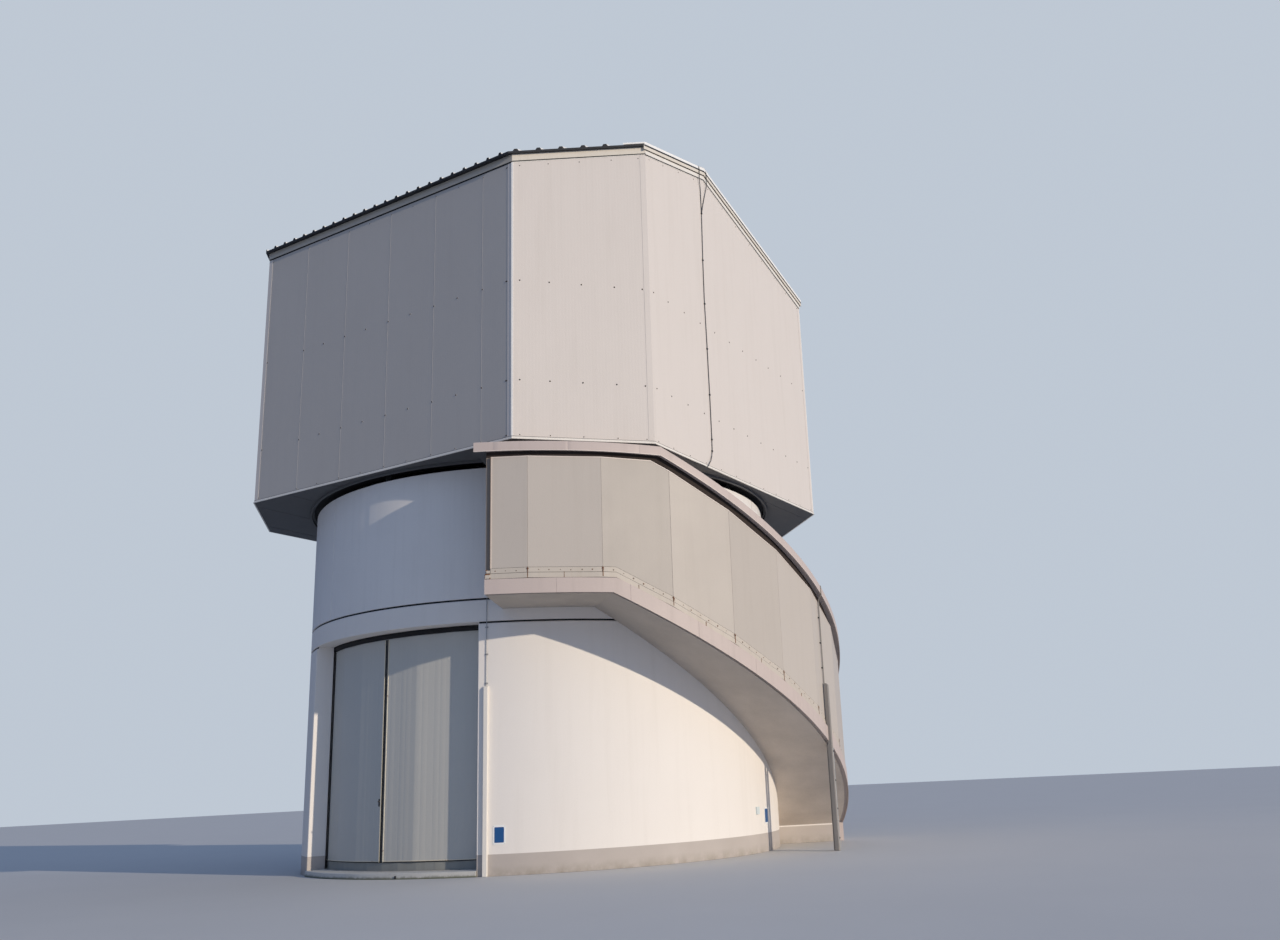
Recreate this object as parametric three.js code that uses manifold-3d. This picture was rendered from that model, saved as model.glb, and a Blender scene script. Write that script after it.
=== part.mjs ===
// Observatory building: a round drum with two curved sliding doors, a clad stair that winds round
// it to the upper floor, and a turning eight-sided enclosure with a gable roof on top.
// Millimetres, +Z up. The origin is on the ground, on the axis of the drum.
// An azimuth is measured from -Y, where the doors face, towards +X.
import * as THREE from "three";
import { mergeVertices } from "three/addons/utils/BufferGeometryUtils.js";
import Module from "manifold-3d";

const wasm = await Module();
wasm.setup();

// Driving dimensions
const GAP = 0.3; // between solids that touch
const SEAM_DEG = 0.004; // the same gap, as an angle at the drum's wall
const GRID_DEG = 5; // one facet of the round walls

// Drum
const DRUM_R = 4500;
const WALL = 300;
const LINTEL_Z = 3950; // underside of the ring beam
const FLOOR_Z = 4340; // top of the ring beam and of the upper floor
const WALL_TOP = 6560;
const GROUND_SLAB = 100;
const UPPER_SLAB = 240;
const RAIL = { inner: 4300, outer: 4400, height: 40 };

// Doors
const DOOR_HALF_DEG = 26.15;
const LEAF_R = 4165; // outer face at a fold of the leaf
const LEAF_THICK = 80;
const LEAF_PANEL_DEG = 9.3;
const LEAF_PANELS = 3;
const LEAF_BOTTOM = 235;
const LEAF_TOP = 3865;
const MEETING_DEG = 0.07; // half of the gap between the leaves
const DOOR_TRACK_DEG = 11 * GRID_DEG; // how far the door's rails run to each side
const DOOR_TRACK = { ledge: 3960, plate: 15, top: 4070, inner: 4137, back: 4180 };
const GUIDE_INSET = 15; // from the leaf's outer face to the guide's
const GUIDE_GAP = 10; // under the leaf
const HANGER = { inner: 4110, outer: 4130, hook: 4170, halfDeg: 1, sunk: 30, high: 60, shares: [0.17, 0.83] };
const SILL_OUT = 4530;
const SILL_TOP = 95;

// Upper doorway, behind the stair's outer wall
const UPPER_DOOR = { from: 35.3, to: 46.8, top: 6320 };

// Stair
const STAIR_FACET_DEG = 11.25;
const STAIR_FOLD_DEG = 37.55; // one of the folds of its outer wall
const STAIR_R = 5850; // outer face at a fold
const STAIR_WALL = 80;
const STAIR_FROM = 31.2;
const STAIR_TO = 146;
const FALL = 48.6; // drop in millimetres for each degree
const RISERS = 26;
const RISER = FLOOR_Z / RISERS;
const TREAD_DEG = RISER / FALL;
const FIRST_RISER_DEG = 51.5;
const SLAB = 200;
const CLOSING_DEG = 128.4; // radial wall that closes the low space under the steps
const FASCIA = { inner: 5790, outer: 5872, top: 4371, bend: 50.9, curb: 120 };
const SOFFIT_BEND_DEG = 50.35;
const WALL_HEAD = { z: 6323, bend: 57.0, low: 2370 };
const CAP = { low: 6395, top: 6552, bend: 58.5, outer: 5930, neckIn: 5775, neckOut: 5835, level: 2442 };
const CAP_OVERHANG_DEG = 1.75;
const ENTRANCE = { from: 4690, to: 5590, top: 2100 };
const END_WALL_DEG = 0.8;
const END_WALL_RECESS = 30;
const TREAD_LAP_DEG = 0.3;

// Post under the stair and covers of the two down conductors
const POST = { az: 99.0, halfDeg: 0.4, inner: 5780, outer: 5840 };
const DOOR_COVER = { az: 27.95, width: 80, depth: 60, top: 2900 };
const STAIR_COVER = { az: 97.6, width: 70, depth: 75, top: 2870 };

// Turning enclosure
const TURN_DEG = 1.8; // how far it stands round from the door's axis
const HALF = 4733;
const CHAMFER = 1640;
const PANEL = 100;
const SOFFIT_Z = 6670;
const SOFFIT = 50;
const OPENING_R = 4640;
const RIDGE_Y = -1040;
const EAVE_Z = 11720;
const RIDGE_Z = 12680;
const BACK_EAVE_Z = 11055;
const ROOF = 140; // up to the heads of the sheet's ribs
const RIB = { height: 35, halfFoot: 36, halfHead: 18, pitch: 272.7, first: -4185 };
const ROOF_SHEET = 45; // under the ribs, the part of the roof that overhangs at the eaves
const VERGE = 280; // width of the strips along the gables, which are as high as the ribs
const EAVE_TRIM = 15; // how far the trim under the sheet stands out from the walls
const EAVE_OUT = 105;
const RAKE_OUT = 45;
const CHAMFER_OUT = 70;
const RING = { inner: 4560, low: 6670, high: SOFFIT_Z + SOFFIT };
const BASE_RING = { inner: 4250, outer: 4590, high: 6900 };
const WHEELS = 8;
const WHEEL_R = 75;
const WHEEL_WIDTH = 60;
const RIDGE_CAP = { half: 150, thick: 12 };

const LIGHT_PANEL = 0xd6cec6;
const STAIR_PANEL = 0xbdb5ab;
const WARM_TRIM = 0xbfb0ac;
const WHITE_WALL = 0xe8e0da;
const CONCRETE = 0xa39a90;
const GREY_METAL = 0x7e848a;
const DARK_STEEL = 0x3a3d40;

const radians = (deg) => (deg * Math.PI) / 180;

// The point at an azimuth, a radius and a height.
const place = (az, r, z) =>
  new THREE.Vector3(r * Math.sin(radians(az)), -r * Math.cos(radians(az)), z);

// Azimuths from one end to the other, with every facet line of the drum and the extra ones between.
function stations(from, to, extra = []) {
  const list = [from, to];
  for (let k = Math.ceil(from / GRID_DEG); k * GRID_DEG < to; k++) list.push(k * GRID_DEG);
  list.push(...extra.filter((az) => az > from && az < to));
  return [...new Set(list)].sort((a, b) => a - b).filter((az, i, all) => !i || az - all[i - 1] > 1e-3);
}

// The radius of a many-sided ring at an azimuth, given its radius at the folds.
function facetRadius(atFold, az, pitch, firstFold) {
  const turn = (az - firstFold) / pitch;
  const fromMiddle = (turn - Math.floor(turn) - 0.5) * pitch;
  return (atFold * Math.cos(radians(pitch / 2))) / Math.cos(radians(fromMiddle));
}
const drumRadius = (atFold, az) => facetRadius(atFold, az, GRID_DEG, 0);
const stairRadius = (atFold, az) => facetRadius(atFold, az, STAIR_FACET_DEG, STAIR_FOLD_DEG);

// A closed solid through sections of equal point count: outlines of [radius, height] at azimuths.
function sweep(azimuths, outlineAt, closed = false) {
  const outlines = azimuths.map(outlineAt);
  const count = outlines[0].length;
  const points = azimuths.flatMap((az, i) => outlines[i].map(([r, z]) => place(az, r, z)));
  const index = [];
  const spans = closed ? azimuths.length : azimuths.length - 1;
  for (let i = 0; i < spans; i++) {
    const a = i * count;
    const b = ((i + 1) % azimuths.length) * count;
    for (let j = 0; j < count; j++) {
      const k = (j + 1) % count;
      index.push(a + j, a + k, b + k, a + j, b + k, b + j);
    }
  }
  if (!closed) {
    const last = (azimuths.length - 1) * count;
    const flat = (outline) => outline.map(([r, z]) => new THREE.Vector2(r, z));
    const turn = THREE.ShapeUtils.isClockWise(flat(outlines[0])) ? -1 : 1;
    for (const [a, b, c] of THREE.ShapeUtils.triangulateShape(flat(outlines[0]), []))
      index.push(...(turn > 0 ? [a, c, b] : [a, b, c]));
    for (const [a, b, c] of THREE.ShapeUtils.triangulateShape(flat(outlines.at(-1)), []))
      index.push(...(turn > 0 ? [last + a, last + b, last + c] : [last + a, last + c, last + b]));
  }
  const geometry = new THREE.BufferGeometry().setFromPoints(points);
  geometry.setIndex(index);
  return outward(geometry);
}

// Turns a closed geometry's triangles to face out.
function outward(geometry) {
  const p = geometry.getAttribute("position");
  const index = geometry.index.array;
  const [a, b, c] = [new THREE.Vector3(), new THREE.Vector3(), new THREE.Vector3()];
  let volume = 0;
  for (let i = 0; i < index.length; i += 3) {
    a.fromBufferAttribute(p, index[i]);
    b.fromBufferAttribute(p, index[i + 1]);
    c.fromBufferAttribute(p, index[i + 2]);
    volume += a.dot(b.cross(c));
  }
  if (volume < 0)
    for (let i = 0; i < index.length; i += 3) [index[i], index[i + 1]] = [index[i + 1], index[i]];
  return geometry;
}

// Booleans: a geometry as a solid, and a solid as a geometry.
function solid(geometry) {
  const bare = geometry.clone();
  bare.deleteAttribute("normal");
  bare.deleteAttribute("uv");
  const merged = mergeVertices(bare, 1e-3);
  return new wasm.Manifold(
    new wasm.Mesh({
      numProp: 3,
      vertProperties: new Float32Array(merged.getAttribute("position").array),
      triVerts: new Uint32Array(merged.index.array),
    }),
  );
}

function geometryOf(made) {
  const mesh = made.getMesh();
  const geometry = new THREE.BufferGeometry();
  geometry.setAttribute("position", new THREE.BufferAttribute(mesh.vertProperties, 3));
  geometry.setIndex(new THREE.BufferAttribute(mesh.triVerts, 1));
  return geometry;
}

const joined = (...parts) => geometryOf(parts.map(solid).reduce((all, part) => all.add(part)));
const shared = (a, b) => geometryOf(solid(a).intersect(solid(b)));
const cut = (a, b) => geometryOf(solid(a).subtract(solid(b)));

// An outline in the XY plane, raised from one height to another.
function upright(points, low, high) {
  const shape = new THREE.Shape(points.map(([x, y]) => new THREE.Vector2(x, y)));
  const geometry = new THREE.ExtrudeGeometry(shape, { depth: high - low, bevelEnabled: false });
  return geometry.translate(0, 0, low);
}

// An outline in the YZ plane, drawn out along X on both sides of the axis.
function alongX(points, half) {
  const shape = new THREE.Shape(points.map(([y, z]) => new THREE.Vector2(y, z)));
  const geometry = new THREE.ExtrudeGeometry(shape, { depth: 2 * half, bevelEnabled: false });
  geometry.translate(0, 0, -half);
  return geometry.applyMatrix4(new THREE.Matrix4().set(0, 0, 1, 0, 1, 0, 0, 0, 0, 1, 0, 0, 0, 0, 0, 1));
}

const building = new THREE.Group();

function add(name, geometry, color, finish = {}, parent = building) {
  const material = new THREE.MeshStandardMaterial({ color, roughness: 0.7, metalness: 0, ...finish });
  const mesh = new THREE.Mesh(geometry, material);
  mesh.name = name;
  parent.add(mesh);
}

// Drum

const plainBand = (inner, outer, low, high) => () => [
  [inner, low],
  [outer, low],
  [outer, high],
  [inner, high],
];
const bandOutline = (inner, outer, low, high) => (az) =>
  plainBand(drumRadius(inner, az), drumRadius(outer, az), low, high)();

function wallPiece(name, from, to, low, high) {
  const outline = bandOutline(DRUM_R - WALL, DRUM_R, low, high - GAP);
  add(name, sweep(stations(from + SEAM_DEG, to - SEAM_DEG), outline), WHITE_WALL);
}

wallPiece("lower_wall_right", DOOR_HALF_DEG, 135, 0, LINTEL_Z);
wallPiece("lower_wall_back", 135, 225, 0, LINTEL_Z);
wallPiece("lower_wall_left", 225, 360 - DOOR_HALF_DEG, 0, LINTEL_Z);
wallPiece("upper_wall_right", UPPER_DOOR.to, 150, FLOOR_Z, WALL_TOP + GAP);
wallPiece("upper_wall_back", 150, 270, FLOOR_Z, WALL_TOP + GAP);
wallPiece("upper_wall_left", 270, 360 + UPPER_DOOR.from, FLOOR_Z, WALL_TOP + GAP);
wallPiece("upper_door_lintel", UPPER_DOOR.from, UPPER_DOOR.to, UPPER_DOOR.top, WALL_TOP + GAP);

function disc(radius, low, high) {
  const rim = stations(0, 360 - GRID_DEG).map((az) => place(az, radius, 0));
  return upright(
    rim.map(({ x, y }) => [x, y]),
    low,
    high,
  );
}

const ROOM_R = DRUM_R - WALL - GAP;
add("ground_floor", disc(ROOM_R, 0, GROUND_SLAB), CONCRETE);
add("upper_floor", disc(ROOM_R, FLOOR_Z - UPPER_SLAB, FLOOR_Z - GAP), CONCRETE);

const wholeTurn = stations(0, 360 - GRID_DEG);
add(
  "ring_beam",
  sweep(wholeTurn, bandOutline(DRUM_R - WALL, DRUM_R, LINTEL_Z, FLOOR_Z - GAP), true),
  WHITE_WALL,
);
add(
  "turning_rail",
  sweep(wholeTurn, bandOutline(RAIL.inner, RAIL.outer, WALL_TOP + GAP, WALL_TOP + RAIL.height), true),
  DARK_STEEL,
  { metalness: 0.8, roughness: 0.5 },
);

// Doors

const METAL = { metalness: 0.4, roughness: 0.5 };

add(
  "door_sill",
  sweep(
    stations(-DOOR_HALF_DEG + SEAM_DEG, DOOR_HALF_DEG - SEAM_DEG),
    bandOutline(DRUM_R - WALL + GAP, SILL_OUT, 0, SILL_TOP),
  ),
  CONCRETE,
);

add(
  "door_bottom_guide",
  sweep(
    stations(-DOOR_TRACK_DEG, DOOR_TRACK_DEG),
    bandOutline(LEAF_R - LEAF_THICK, LEAF_R - GUIDE_INSET, GROUND_SLAB + GAP, LEAF_BOTTOM - GUIDE_GAP),
  ),
  GREY_METAL,
  METAL,
);

add(
  "door_top_track",
  sweep(stations(-DOOR_TRACK_DEG, DOOR_TRACK_DEG), () => [
    [DOOR_TRACK.inner, DOOR_TRACK.ledge],
    [ROOM_R, DOOR_TRACK.ledge],
    [ROOM_R, DOOR_TRACK.top],
    [DOOR_TRACK.back, DOOR_TRACK.top],
    [DOOR_TRACK.back, DOOR_TRACK.ledge + DOOR_TRACK.plate],
    [DOOR_TRACK.inner, DOOR_TRACK.ledge + DOOR_TRACK.plate],
  ]),
  DARK_STEEL,
  METAL,
);

// A leaf of flat panels with two hangers that stand on the track's ledge. Side is +1 or -1.
function doorLeaf(name, side) {
  const leafFolds = [MEETING_DEG];
  for (let k = 1; k <= LEAF_PANELS; k++) leafFolds.push(k * LEAF_PANEL_DEG);
  const turned = (list) => list.map((az) => side * az).sort((a, b) => a - b);
  const panel = sweep(turned(leafFolds), plainBand(LEAF_R - LEAF_THICK, LEAF_R, LEAF_BOTTOM, LEAF_TOP));
  const seat = DOOR_TRACK.ledge + DOOR_TRACK.plate + GAP;
  const hangers = HANGER.shares.map((share) => {
    const middle = share * LEAF_PANELS * LEAF_PANEL_DEG;
    return sweep(turned([middle - HANGER.halfDeg, middle + HANGER.halfDeg]), () => [
      [HANGER.inner, LEAF_TOP - HANGER.sunk],
      [HANGER.outer, LEAF_TOP - HANGER.sunk],
      [HANGER.outer, seat],
      [HANGER.hook, seat],
      [HANGER.hook, seat + HANGER.high],
      [HANGER.inner, seat + HANGER.high],
    ]);
  });
  add(name, joined(panel, ...hangers), GREY_METAL, METAL);
}

doorLeaf("door_leaf_right", 1);
doorLeaf("door_leaf_left", -1);

// Stair

const folds = [];
for (let k = -1; STAIR_FOLD_DEG + k * STAIR_FACET_DEG < STAIR_TO + STAIR_FACET_DEG; k++)
  folds.push(STAIR_FOLD_DEG + k * STAIR_FACET_DEG);

const falling = (z, bend, lowest) => (az) => Math.max(lowest, z - FALL * Math.max(0, az - bend));
const soffitZ = falling(FLOOR_Z - SLAB, SOFFIT_BEND_DEG, 0);
const fasciaTop = falling(FASCIA.top, FASCIA.bend, FASCIA.curb);
const headZ = falling(WALL_HEAD.z, WALL_HEAD.bend, WALL_HEAD.low);
const capLow = falling(CAP.low, CAP.bend, CAP.level);
const capTop = falling(CAP.top, CAP.bend, CAP.level + CAP.top - CAP.low);
const endOfFall = (z, bend, lowest) => bend + (z - lowest) / FALL;
const BENDS = [
  ...folds,
  FASCIA.bend,
  SOFFIT_BEND_DEG,
  WALL_HEAD.bend,
  CAP.bend,
  endOfFall(FASCIA.top, FASCIA.bend, FASCIA.curb),
  endOfFall(WALL_HEAD.z, WALL_HEAD.bend, WALL_HEAD.low),
  endOfFall(CAP.low, CAP.bend, CAP.level),
];

const inner = (az) => drumRadius(DRUM_R + GAP, az);
const slabOut = (az) => stairRadius(FASCIA.inner - GAP, az);

add(
  "stair_landing",
  sweep(stations(STAIR_FROM, FIRST_RISER_DEG - SEAM_DEG, BENDS), (az) => [
    [inner(az), soffitZ(az)],
    [slabOut(az), soffitZ(az)],
    [slabOut(az), FLOOR_Z],
    [inner(az), FLOOR_Z],
  ]),
  CONCRETE,
);

// Steps from one riser to another, each reaching back a little under the step above it.
function flight(name, first, last) {
  const steps = [];
  for (let k = first; k <= last; k++) {
    const riser = FIRST_RISER_DEG + (k - 1) * TREAD_DEG;
    const back = k === first ? 0 : TREAD_LAP_DEG;
    const tread = FLOOR_Z - k * RISER;
    steps.push(
      sweep(stations(riser - back, riser + TREAD_DEG - (k === last ? SEAM_DEG : 0), folds), (az) => [
        [inner(az), soffitZ(az)],
        [slabOut(az), soffitZ(az)],
        [slabOut(az), tread],
        [inner(az), tread],
      ]),
    );
  }
  add(name, joined(...steps), CONCRETE);
}

const HALF_FLIGHT = RISERS / 2;
flight("stair_flight_upper", 1, HALF_FLIGHT);
flight("stair_flight_lower", HALF_FLIGHT + 1, RISERS - 1);

add(
  "understair_wall",
  sweep([CLOSING_DEG, CLOSING_DEG + END_WALL_DEG], (az) => [
    [inner(az), 0],
    [slabOut(az), 0],
    [slabOut(az), soffitZ(az) - GAP],
    [inner(az), soffitZ(az) - GAP],
  ]),
  WHITE_WALL,
);

const fasciaBottom = (az) => (az > CLOSING_DEG ? 0 : soffitZ(az));
add(
  "stair_fascia",
  sweep(stations(STAIR_FROM, STAIR_TO, [...BENDS, CLOSING_DEG, CLOSING_DEG + 0.01]), (az) => [
    [stairRadius(FASCIA.inner, az), fasciaBottom(az)],
    [stairRadius(FASCIA.outer, az), fasciaBottom(az)],
    [stairRadius(FASCIA.outer, az), fasciaTop(az)],
    [stairRadius(FASCIA.inner, az), fasciaTop(az)],
  ]),
  WARM_TRIM,
);

function stairWall(name, from, to) {
  const outline = (az) => [
    [stairRadius(STAIR_R - STAIR_WALL, az), fasciaTop(az) + GAP],
    [stairRadius(STAIR_R, az), fasciaTop(az) + GAP],
    [stairRadius(STAIR_R, az), headZ(az)],
    [stairRadius(STAIR_R - STAIR_WALL, az), headZ(az)],
  ];
  add(name, sweep(stations(from, to - SEAM_DEG, BENDS), outline), STAIR_PANEL);
}

const WALL_FROM = STAIR_FROM + END_WALL_DEG;
const fold = (k) => STAIR_FOLD_DEG + k * STAIR_FACET_DEG;
stairWall("stair_wall_landing", WALL_FROM, fold(2));
stairWall("stair_wall_upper", fold(2), fold(6));
stairWall("stair_wall_lower", fold(6), STAIR_TO);

add(
  "stair_end_wall",
  sweep([STAIR_FROM, WALL_FROM - 0.005], (az) => [
    [inner(az), FLOOR_Z + GAP],
    [slabOut(az), FLOOR_Z + GAP],
    [slabOut(az), FASCIA.top + GAP],
    [stairRadius(STAIR_R - END_WALL_RECESS, az), FASCIA.top + GAP],
    [stairRadius(STAIR_R - END_WALL_RECESS, az), WALL_HEAD.z],
    [stairRadius(CAP.neckIn, az) - GAP, WALL_HEAD.z],
    [stairRadius(CAP.neckIn, az) - GAP, CAP.low - GAP],
    [inner(az), CAP.low - GAP],
  ]),
  STAIR_PANEL,
);

function entranceWall() {
  const to = STAIR_TO - SEAM_DEG;
  const from = to - END_WALL_DEG;
  const wall = sweep([from, to], (az) => [
    [inner(az), 0],
    [stairRadius(STAIR_R - STAIR_WALL, az) - GAP, 0],
    [stairRadius(STAIR_R - STAIR_WALL, az) - GAP, CAP.level - GAP],
    [inner(az), CAP.level - GAP],
  ]);
  const doorway = sweep([from - 1, to + 1], plainBand(ENTRANCE.from, ENTRANCE.to, -10, ENTRANCE.top));
  return cut(wall, doorway);
}
add("stair_entrance_wall", entranceWall(), STAIR_PANEL);

function stairRoof(name, from, to) {
  const outline = (az) => [
    [inner(az), capLow(az)],
    [stairRadius(CAP.neckIn, az), capLow(az)],
    [stairRadius(CAP.neckIn, az), headZ(az) + GAP],
    [stairRadius(CAP.neckOut, az), headZ(az) + GAP],
    [stairRadius(CAP.neckOut, az), capLow(az)],
    [stairRadius(CAP.outer, az), capLow(az)],
    [stairRadius(CAP.outer, az), capTop(az)],
    [inner(az), capTop(az)],
  ];
  add(name, sweep(stations(from, to - SEAM_DEG, BENDS), outline), WARM_TRIM);
}
stairRoof("stair_roof_upper", STAIR_FROM - CAP_OVERHANG_DEG, fold(4));
stairRoof("stair_roof_lower", fold(4), STAIR_TO + CAP_OVERHANG_DEG);

add(
  "stair_post",
  sweep([POST.az - POST.halfDeg, POST.az + POST.halfDeg], (az) => [
    [POST.inner, 0],
    [POST.outer, 0],
    [POST.outer, soffitZ(az) - GAP],
    [POST.inner, soffitZ(az) - GAP],
  ]),
  DARK_STEEL,
  METAL,
);

// A cover box flat on the facet of a many-sided wall that faces its azimuth.
function cover(name, { az, width, depth, top }, atFold, pitch, firstFold) {
  const facing = firstFold + (Math.floor((az - firstFold) / pitch) + 0.5) * pitch;
  const wall = atFold * Math.cos(radians(pitch / 2));
  const box = new THREE.BoxGeometry(width, depth, top);
  box.translate(wall * Math.tan(radians(az - facing)), -wall - GAP - depth / 2, top / 2);
  box.rotateZ(radians(facing));
  add(name, box, GREY_METAL, METAL);
}
cover("conductor_cover_door", DOOR_COVER, DRUM_R, GRID_DEG, 0);
cover("conductor_cover_stair", STAIR_COVER, FASCIA.outer, STAIR_FACET_DEG, STAIR_FOLD_DEG);

// Turning enclosure

const enclosure = new THREE.Group();
enclosure.rotation.z = radians(TURN_DEG);
building.add(enclosure);

// Corners of the eight-sided plan, anticlockwise from the front right one.
function plan(halfX, halfY, leg) {
  return [
    [halfX, -halfY + leg],
    [halfX, halfY - leg],
    [halfX - leg, halfY],
    [-halfX + leg, halfY],
    [-halfX, halfY - leg],
    [-halfX, -halfY + leg],
    [-halfX + leg, -halfY],
    [halfX - leg, -halfY],
  ];
}
const INSET_LEG = CHAMFER - (2 - Math.SQRT2) * PANEL;
const outerPlan = plan(HALF, HALF, CHAMFER);
const innerPlan = plan(HALF - PANEL, HALF - PANEL, INSET_LEG);

const frontSlope = (RIDGE_Z - EAVE_Z) / (RIDGE_Y + HALF);
const backSlope = (RIDGE_Z - BACK_EAVE_Z) / (HALF - RIDGE_Y);
const roofZ = (y) => RIDGE_Z - (y < RIDGE_Y ? (RIDGE_Y - y) * frontSlope : (y - RIDGE_Y) * backSlope);
const FAR = HALF + 500;

const wallsBottom = SOFFIT_Z + SOFFIT + GAP;
const underRoof = alongX(
  [
    [-FAR, 0],
    [FAR, 0],
    [FAR, roofZ(FAR) - GAP],
    [RIDGE_Y, RIDGE_Z - GAP],
    [-FAR, roofZ(-FAR) - GAP],
  ],
  FAR,
);

// One wall of the enclosure, mitred at both ends.
function enclosureWall(name, k) {
  const next = (k + 1) % outerPlan.length;
  const nudge = (from, to) => {
    const length = Math.hypot(to[0] - from[0], to[1] - from[1]);
    return [from[0] + ((to[0] - from[0]) * GAP) / length, from[1] + ((to[1] - from[1]) * GAP) / length];
  };
  const outline = [
    nudge(outerPlan[k], outerPlan[next]),
    nudge(outerPlan[next], outerPlan[k]),
    nudge(innerPlan[next], innerPlan[k]),
    nudge(innerPlan[k], innerPlan[next]),
  ];
  const wall = shared(upright(outline, wallsBottom, RIDGE_Z + ROOF), underRoof);
  add(name, wall, LIGHT_PANEL, {}, enclosure);
}
[
  "enclosure_wall_right",
  "enclosure_wall_back_right",
  "enclosure_wall_back",
  "enclosure_wall_back_left",
  "enclosure_wall_left",
  "enclosure_wall_front_left",
  "enclosure_wall_front",
  "enclosure_wall_front_right",
].forEach(enclosureWall);

const soffitPlate = upright(plan(HALF - 4, HALF - 4, CHAMFER), SOFFIT_Z, SOFFIT_Z + SOFFIT);
add(
  "enclosure_soffit",
  cut(soffitPlate, disc(OPENING_R, SOFFIT_Z - SOFFIT, SOFFIT_Z + 2 * SOFFIT)),
  DARK_STEEL,
  {},
  enclosure,
);

add(
  "enclosure_opening_ring",
  sweep(wholeTurn, bandOutline(RING.inner, OPENING_R - GAP, RING.low, RING.high), true),
  GREY_METAL,
  METAL,
  enclosure,
);

// The ring that carries the enclosure, with its wheels standing on the rail.
function baseRing() {
  const ring = sweep(
    wholeTurn,
    bandOutline(BASE_RING.inner, BASE_RING.outer, RING.high + GAP, BASE_RING.high),
    true,
  );
  const railTop = WALL_TOP + RAIL.height;
  const middle = (RAIL.inner + RAIL.outer) / 2;
  const parts = [ring];
  for (let k = 0; k < WHEELS; k++) {
    const wheel = new THREE.CylinderGeometry(WHEEL_R, WHEEL_R, WHEEL_WIDTH, 24);
    wheel.translate(0, -middle, railTop + GAP + WHEEL_R);
    const fork = new THREE.BoxGeometry(WHEEL_R, WHEEL_WIDTH, 2 * WHEEL_R);
    fork.translate(0, -middle, railTop + 2.1 * WHEEL_R);
    parts.push(...[wheel, fork].map((piece) => piece.rotateZ(radians((k * 360) / WHEELS))));
  }
  return joined(...parts);
}
add("enclosure_base_ring", baseRing(), DARK_STEEL, METAL, enclosure);

// Roof slopes and ridge

const halfXOut = HALF + RAKE_OUT;

// The roof's plan, past the front and back walls and past the cut corners by two overhangs.
function roofPrism(eaveOut, chamferOut) {
  const halfYOut = HALF + eaveOut;
  const leg = halfXOut + halfYOut - (2 * HALF - CHAMFER + chamferOut * Math.SQRT2);
  return upright(plan(halfXOut, halfYOut, leg), EAVE_Z - 2000, RIDGE_Z + 500);
}

const flatTop = ROOF - RIB.height;
const slabSection = [
  [-FAR, 0],
  [FAR, 0],
  [FAR, flatTop - ROOF_SHEET / 2],
  [-FAR, flatTop - ROOF_SHEET / 2],
];

// The sheet's section across the slope, flat between its ribs and raised along both gables.
function sheetSection() {
  const verge = halfXOut - VERGE;
  const points = [[-verge, flatTop]];
  for (let x = RIB.first; x + RIB.halfFoot < verge; x += RIB.pitch)
    points.push(
      [x - RIB.halfFoot, flatTop],
      [x - RIB.halfHead, ROOF],
      [x + RIB.halfHead, ROOF],
      [x + RIB.halfFoot, flatTop],
    );
  points.push([verge, flatTop], [verge, ROOF], [FAR, ROOF], [FAR, flatTop - ROOF_SHEET]);
  points.push([-FAR, flatTop - ROOF_SHEET], [-FAR, ROOF], [-verge, ROOF]);
  return points;
}

// A section of [x, height above the walls' tops], drawn out along a slope from one Y to a lower one.
function alongSlope(section, start, end) {
  const shape = new THREE.Shape(section.map(([x, z]) => new THREE.Vector2(x, z)));
  const geometry = new THREE.ExtrudeGeometry(shape, { depth: start - end, bevelEnabled: false });
  const rise = (roofZ(end) - roofZ(start)) / (start - end);
  const tilted = new THREE.Matrix4().set(1, 0, 0, 0, 0, 0, -1, start, 0, 1, rise, roofZ(start), 0, 0, 0, 1);
  return geometry.applyMatrix4(tilted);
}

// A slope is a thick slab over the walls under a ribbed sheet that overhangs them. Side is -1 or +1.
function slope(name, side) {
  const [end, start] = [RIDGE_Y + side * GAP, side * FAR].sort((a, b) => a - b);
  const slab = shared(roofPrism(EAVE_TRIM, EAVE_TRIM), alongSlope(slabSection, start, end));
  const sheet = shared(roofPrism(EAVE_OUT, CHAMFER_OUT), alongSlope(sheetSection(), start, end));
  add(name, joined(slab, sheet), DARK_STEEL, METAL, enclosure);
}
slope("roof_front", -1);
slope("roof_back", 1);

const ridgeLine = (y, lift) => [y, roofZ(y) + ROOF + lift];
add(
  "roof_ridge_cap",
  alongX(
    [
      ridgeLine(RIDGE_Y - RIDGE_CAP.half, GAP),
      ridgeLine(RIDGE_Y, GAP),
      ridgeLine(RIDGE_Y + RIDGE_CAP.half, GAP),
      ridgeLine(RIDGE_Y + RIDGE_CAP.half, RIDGE_CAP.thick),
      ridgeLine(RIDGE_Y, RIDGE_CAP.thick),
      ridgeLine(RIDGE_Y - RIDGE_CAP.half, RIDGE_CAP.thick),
    ],
    halfXOut,
  ),
  LIGHT_PANEL,
  METAL,
  enclosure,
);

export default building;
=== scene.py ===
# Looks of the observatory building: the finish of every surface, and the detail finer than its solids.
# Metres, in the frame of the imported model. Azimuths run from -Y, where the doors face, towards +X.
import math
import random

import bmesh
import bpy
from mathutils import Matrix, Vector


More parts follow.
